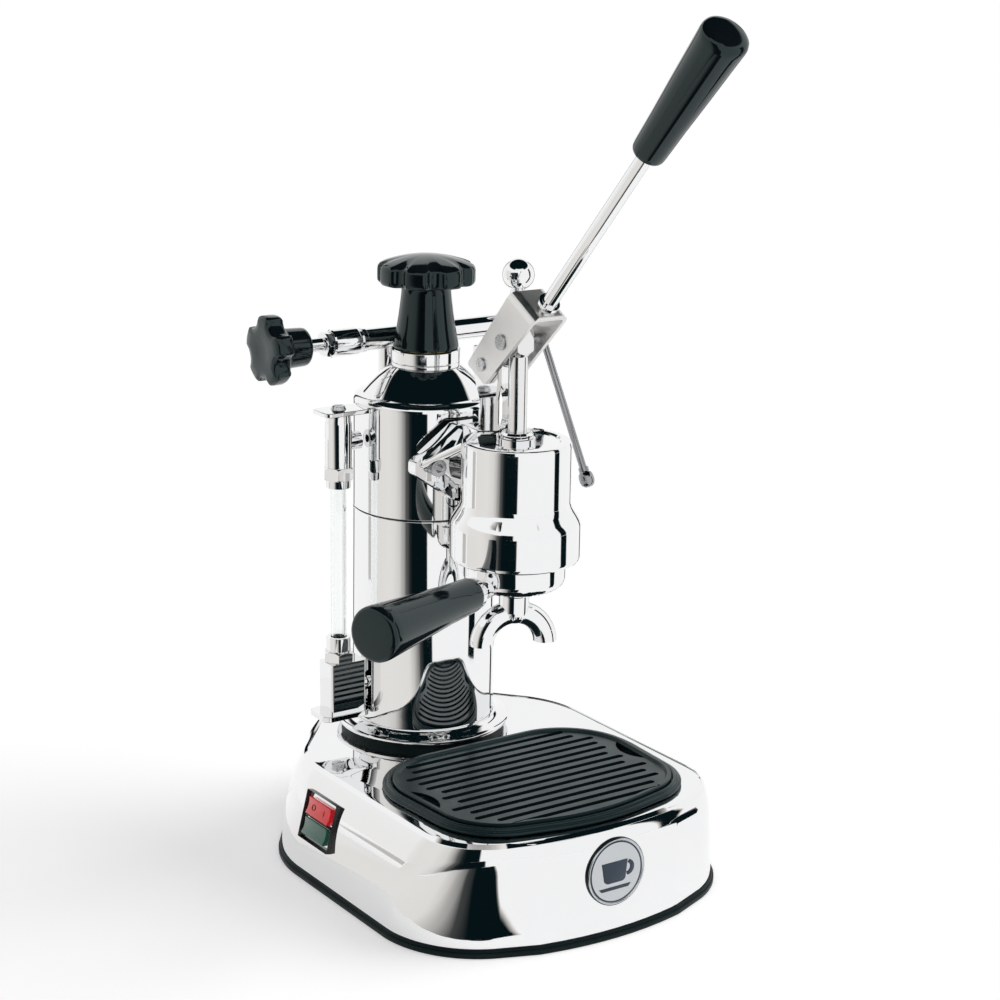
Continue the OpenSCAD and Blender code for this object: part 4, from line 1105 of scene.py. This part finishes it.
def make_cards():
    """Dark cards round, under and over the object, for its reflections."""
    black = card_paint()
    soft = [(-122, 1.0), (-100, 0.90), (-84, 0.82), (-60, 0.83)]
    fade = [(-45, 0.72), (-38, 0.46), (-31, 0.10), (-25, 0.015), (-21, 0.0)]
    near = soft + [(-28, 0.8), (-17, 0.45), (-9, 0.05), (-3, 0.0), (11, 0.0), (13, 1.0)]
    middle = [(-88.5, 0.8), (-60, 0.83)] + fade + [(2, 0.0), (3, 0.02), (4.5, 1.0)]
    far = soft + fade + [(-4, 0.0), (-2, 1.0)]
    floor_wedge("floor_card_near", near, 0.15, 0.36, black)
    floor_wedge("floor_card_middle", middle, 0.36, 1.3, black)
    floor_wedge("floor_card_far", far, 1.3, 2.4, black)
    standing_card("card_far", far, 2.4, 1.25, black)
    floor_wedge("floor_strip_left", strip_stops(-96, 5, 0.55), 0.55, 1.1, black)
    for name, azimuth, spread, start, end in (
            ("right", 90, 7.5, 0.3, 1.5), ("far_left", -152, 4, 0.15, 1.7),
            ("far_right", 150, 4, 0.15, 1.7)):
        stops = strip_stops(azimuth, spread, 0)
        floor_wedge("floor_strip_" + name, stops, start, end, black)
        standing_card("strip_" + name, stops, 1.7, 1.3, black)
    above = CARD_CENTRE + height(2.6)
    notch_from, notch_to = 329, 48
    edge = [(a, 1.9 if a > notch_from or a < notch_to else 2.6)
            for a in sorted({*range(0, 361, 10), notch_to - 1, notch_to, notch_from})]
    card("ceiling_card", [[(above + away(a) * r, shade) for r, shade in
                           ((0.01, 0), (rim, 0), (rim + 0.3, 1))]
                          for a, rim in edge], black)


class ESPRESSO_OT_stage(bpy.types.Operator):
    """Camera, pale floor, soft light and dark cards for the reflections"""

    bl_idname = "espresso.stage"
    bl_label = "Stage"

    def execute(self, context):
        s = context.scene.espresso_stage
        make_camera(s.lens)
        context.scene.view_settings.view_transform = "Standard"
        make_world()
        make_floor()
        make_cards()
        soft_sun("key", 102, 42, 45, s.key_power)
        return {"FINISHED"}


PIECES = (
    ESPRESSO_OT_stage, ESPRESSO_OT_base_shell, ESPRESSO_OT_base_trim,
    ESPRESSO_OT_badge, ESPRESSO_OT_switch, ESPRESSO_OT_drip_tray,
    ESPRESSO_OT_drip_grille, ESPRESSO_OT_boiler, ESPRESSO_OT_boiler_cap,
    ESPRESSO_OT_sight_glass, ESPRESSO_OT_steam_valve, ESPRESSO_OT_safety_valve,
    ESPRESSO_OT_steam_wand, ESPRESSO_OT_group, ESPRESSO_OT_portafilter,
    ESPRESSO_OT_lever,
)


class ESPRESSO_PT_panel(bpy.types.Panel):
    """Sizes, finishes and pieces of the machine"""

    bl_label = "Espresso machine"
    bl_idname = "ESPRESSO_PT_panel"
    bl_space_type = "VIEW_3D"
    bl_region_type = "UI"
    bl_category = "Espresso"

    def draw(self, context):
        layout = self.layout
        for group in (context.scene.espresso_base, context.scene.espresso_finish,
                      context.scene.espresso_stage):
            box = layout.box()
            for key in group.bl_rna.properties.keys():
                if key not in ("rna_type", "name"):
                    box.prop(group, key)
        column = layout.column()
        for piece in PIECES:
            column.operator(piece.bl_idname)


CLASSES = (BaseSettings, FinishSettings, StageSettings) + PIECES + (ESPRESSO_PT_panel,)


def register():
    """Adds the settings, the pieces and the panel to Blender."""
    for c in CLASSES:
        bpy.utils.register_class(c)
    scene = bpy.types.Scene
    scene.espresso_base = bpy.props.PointerProperty(type=BaseSettings)
    scene.espresso_finish = bpy.props.PointerProperty(type=FinishSettings)
    scene.espresso_stage = bpy.props.PointerProperty(type=StageSettings)


def unregister():
    """Takes them out again."""
    for name in ("espresso_base", "espresso_finish", "espresso_stage"):
        delattr(bpy.types.Scene, name)
    for c in reversed(CLASSES):
        bpy.utils.unregister_class(c)


def main():
    """Builds every piece."""
    register()
    PAINT.update(make_materials())
    for piece in PIECES:
        group, call = piece.bl_idname.split(".")
        getattr(getattr(bpy.ops, group), call)()


if __name__ == "__main__":
    main()
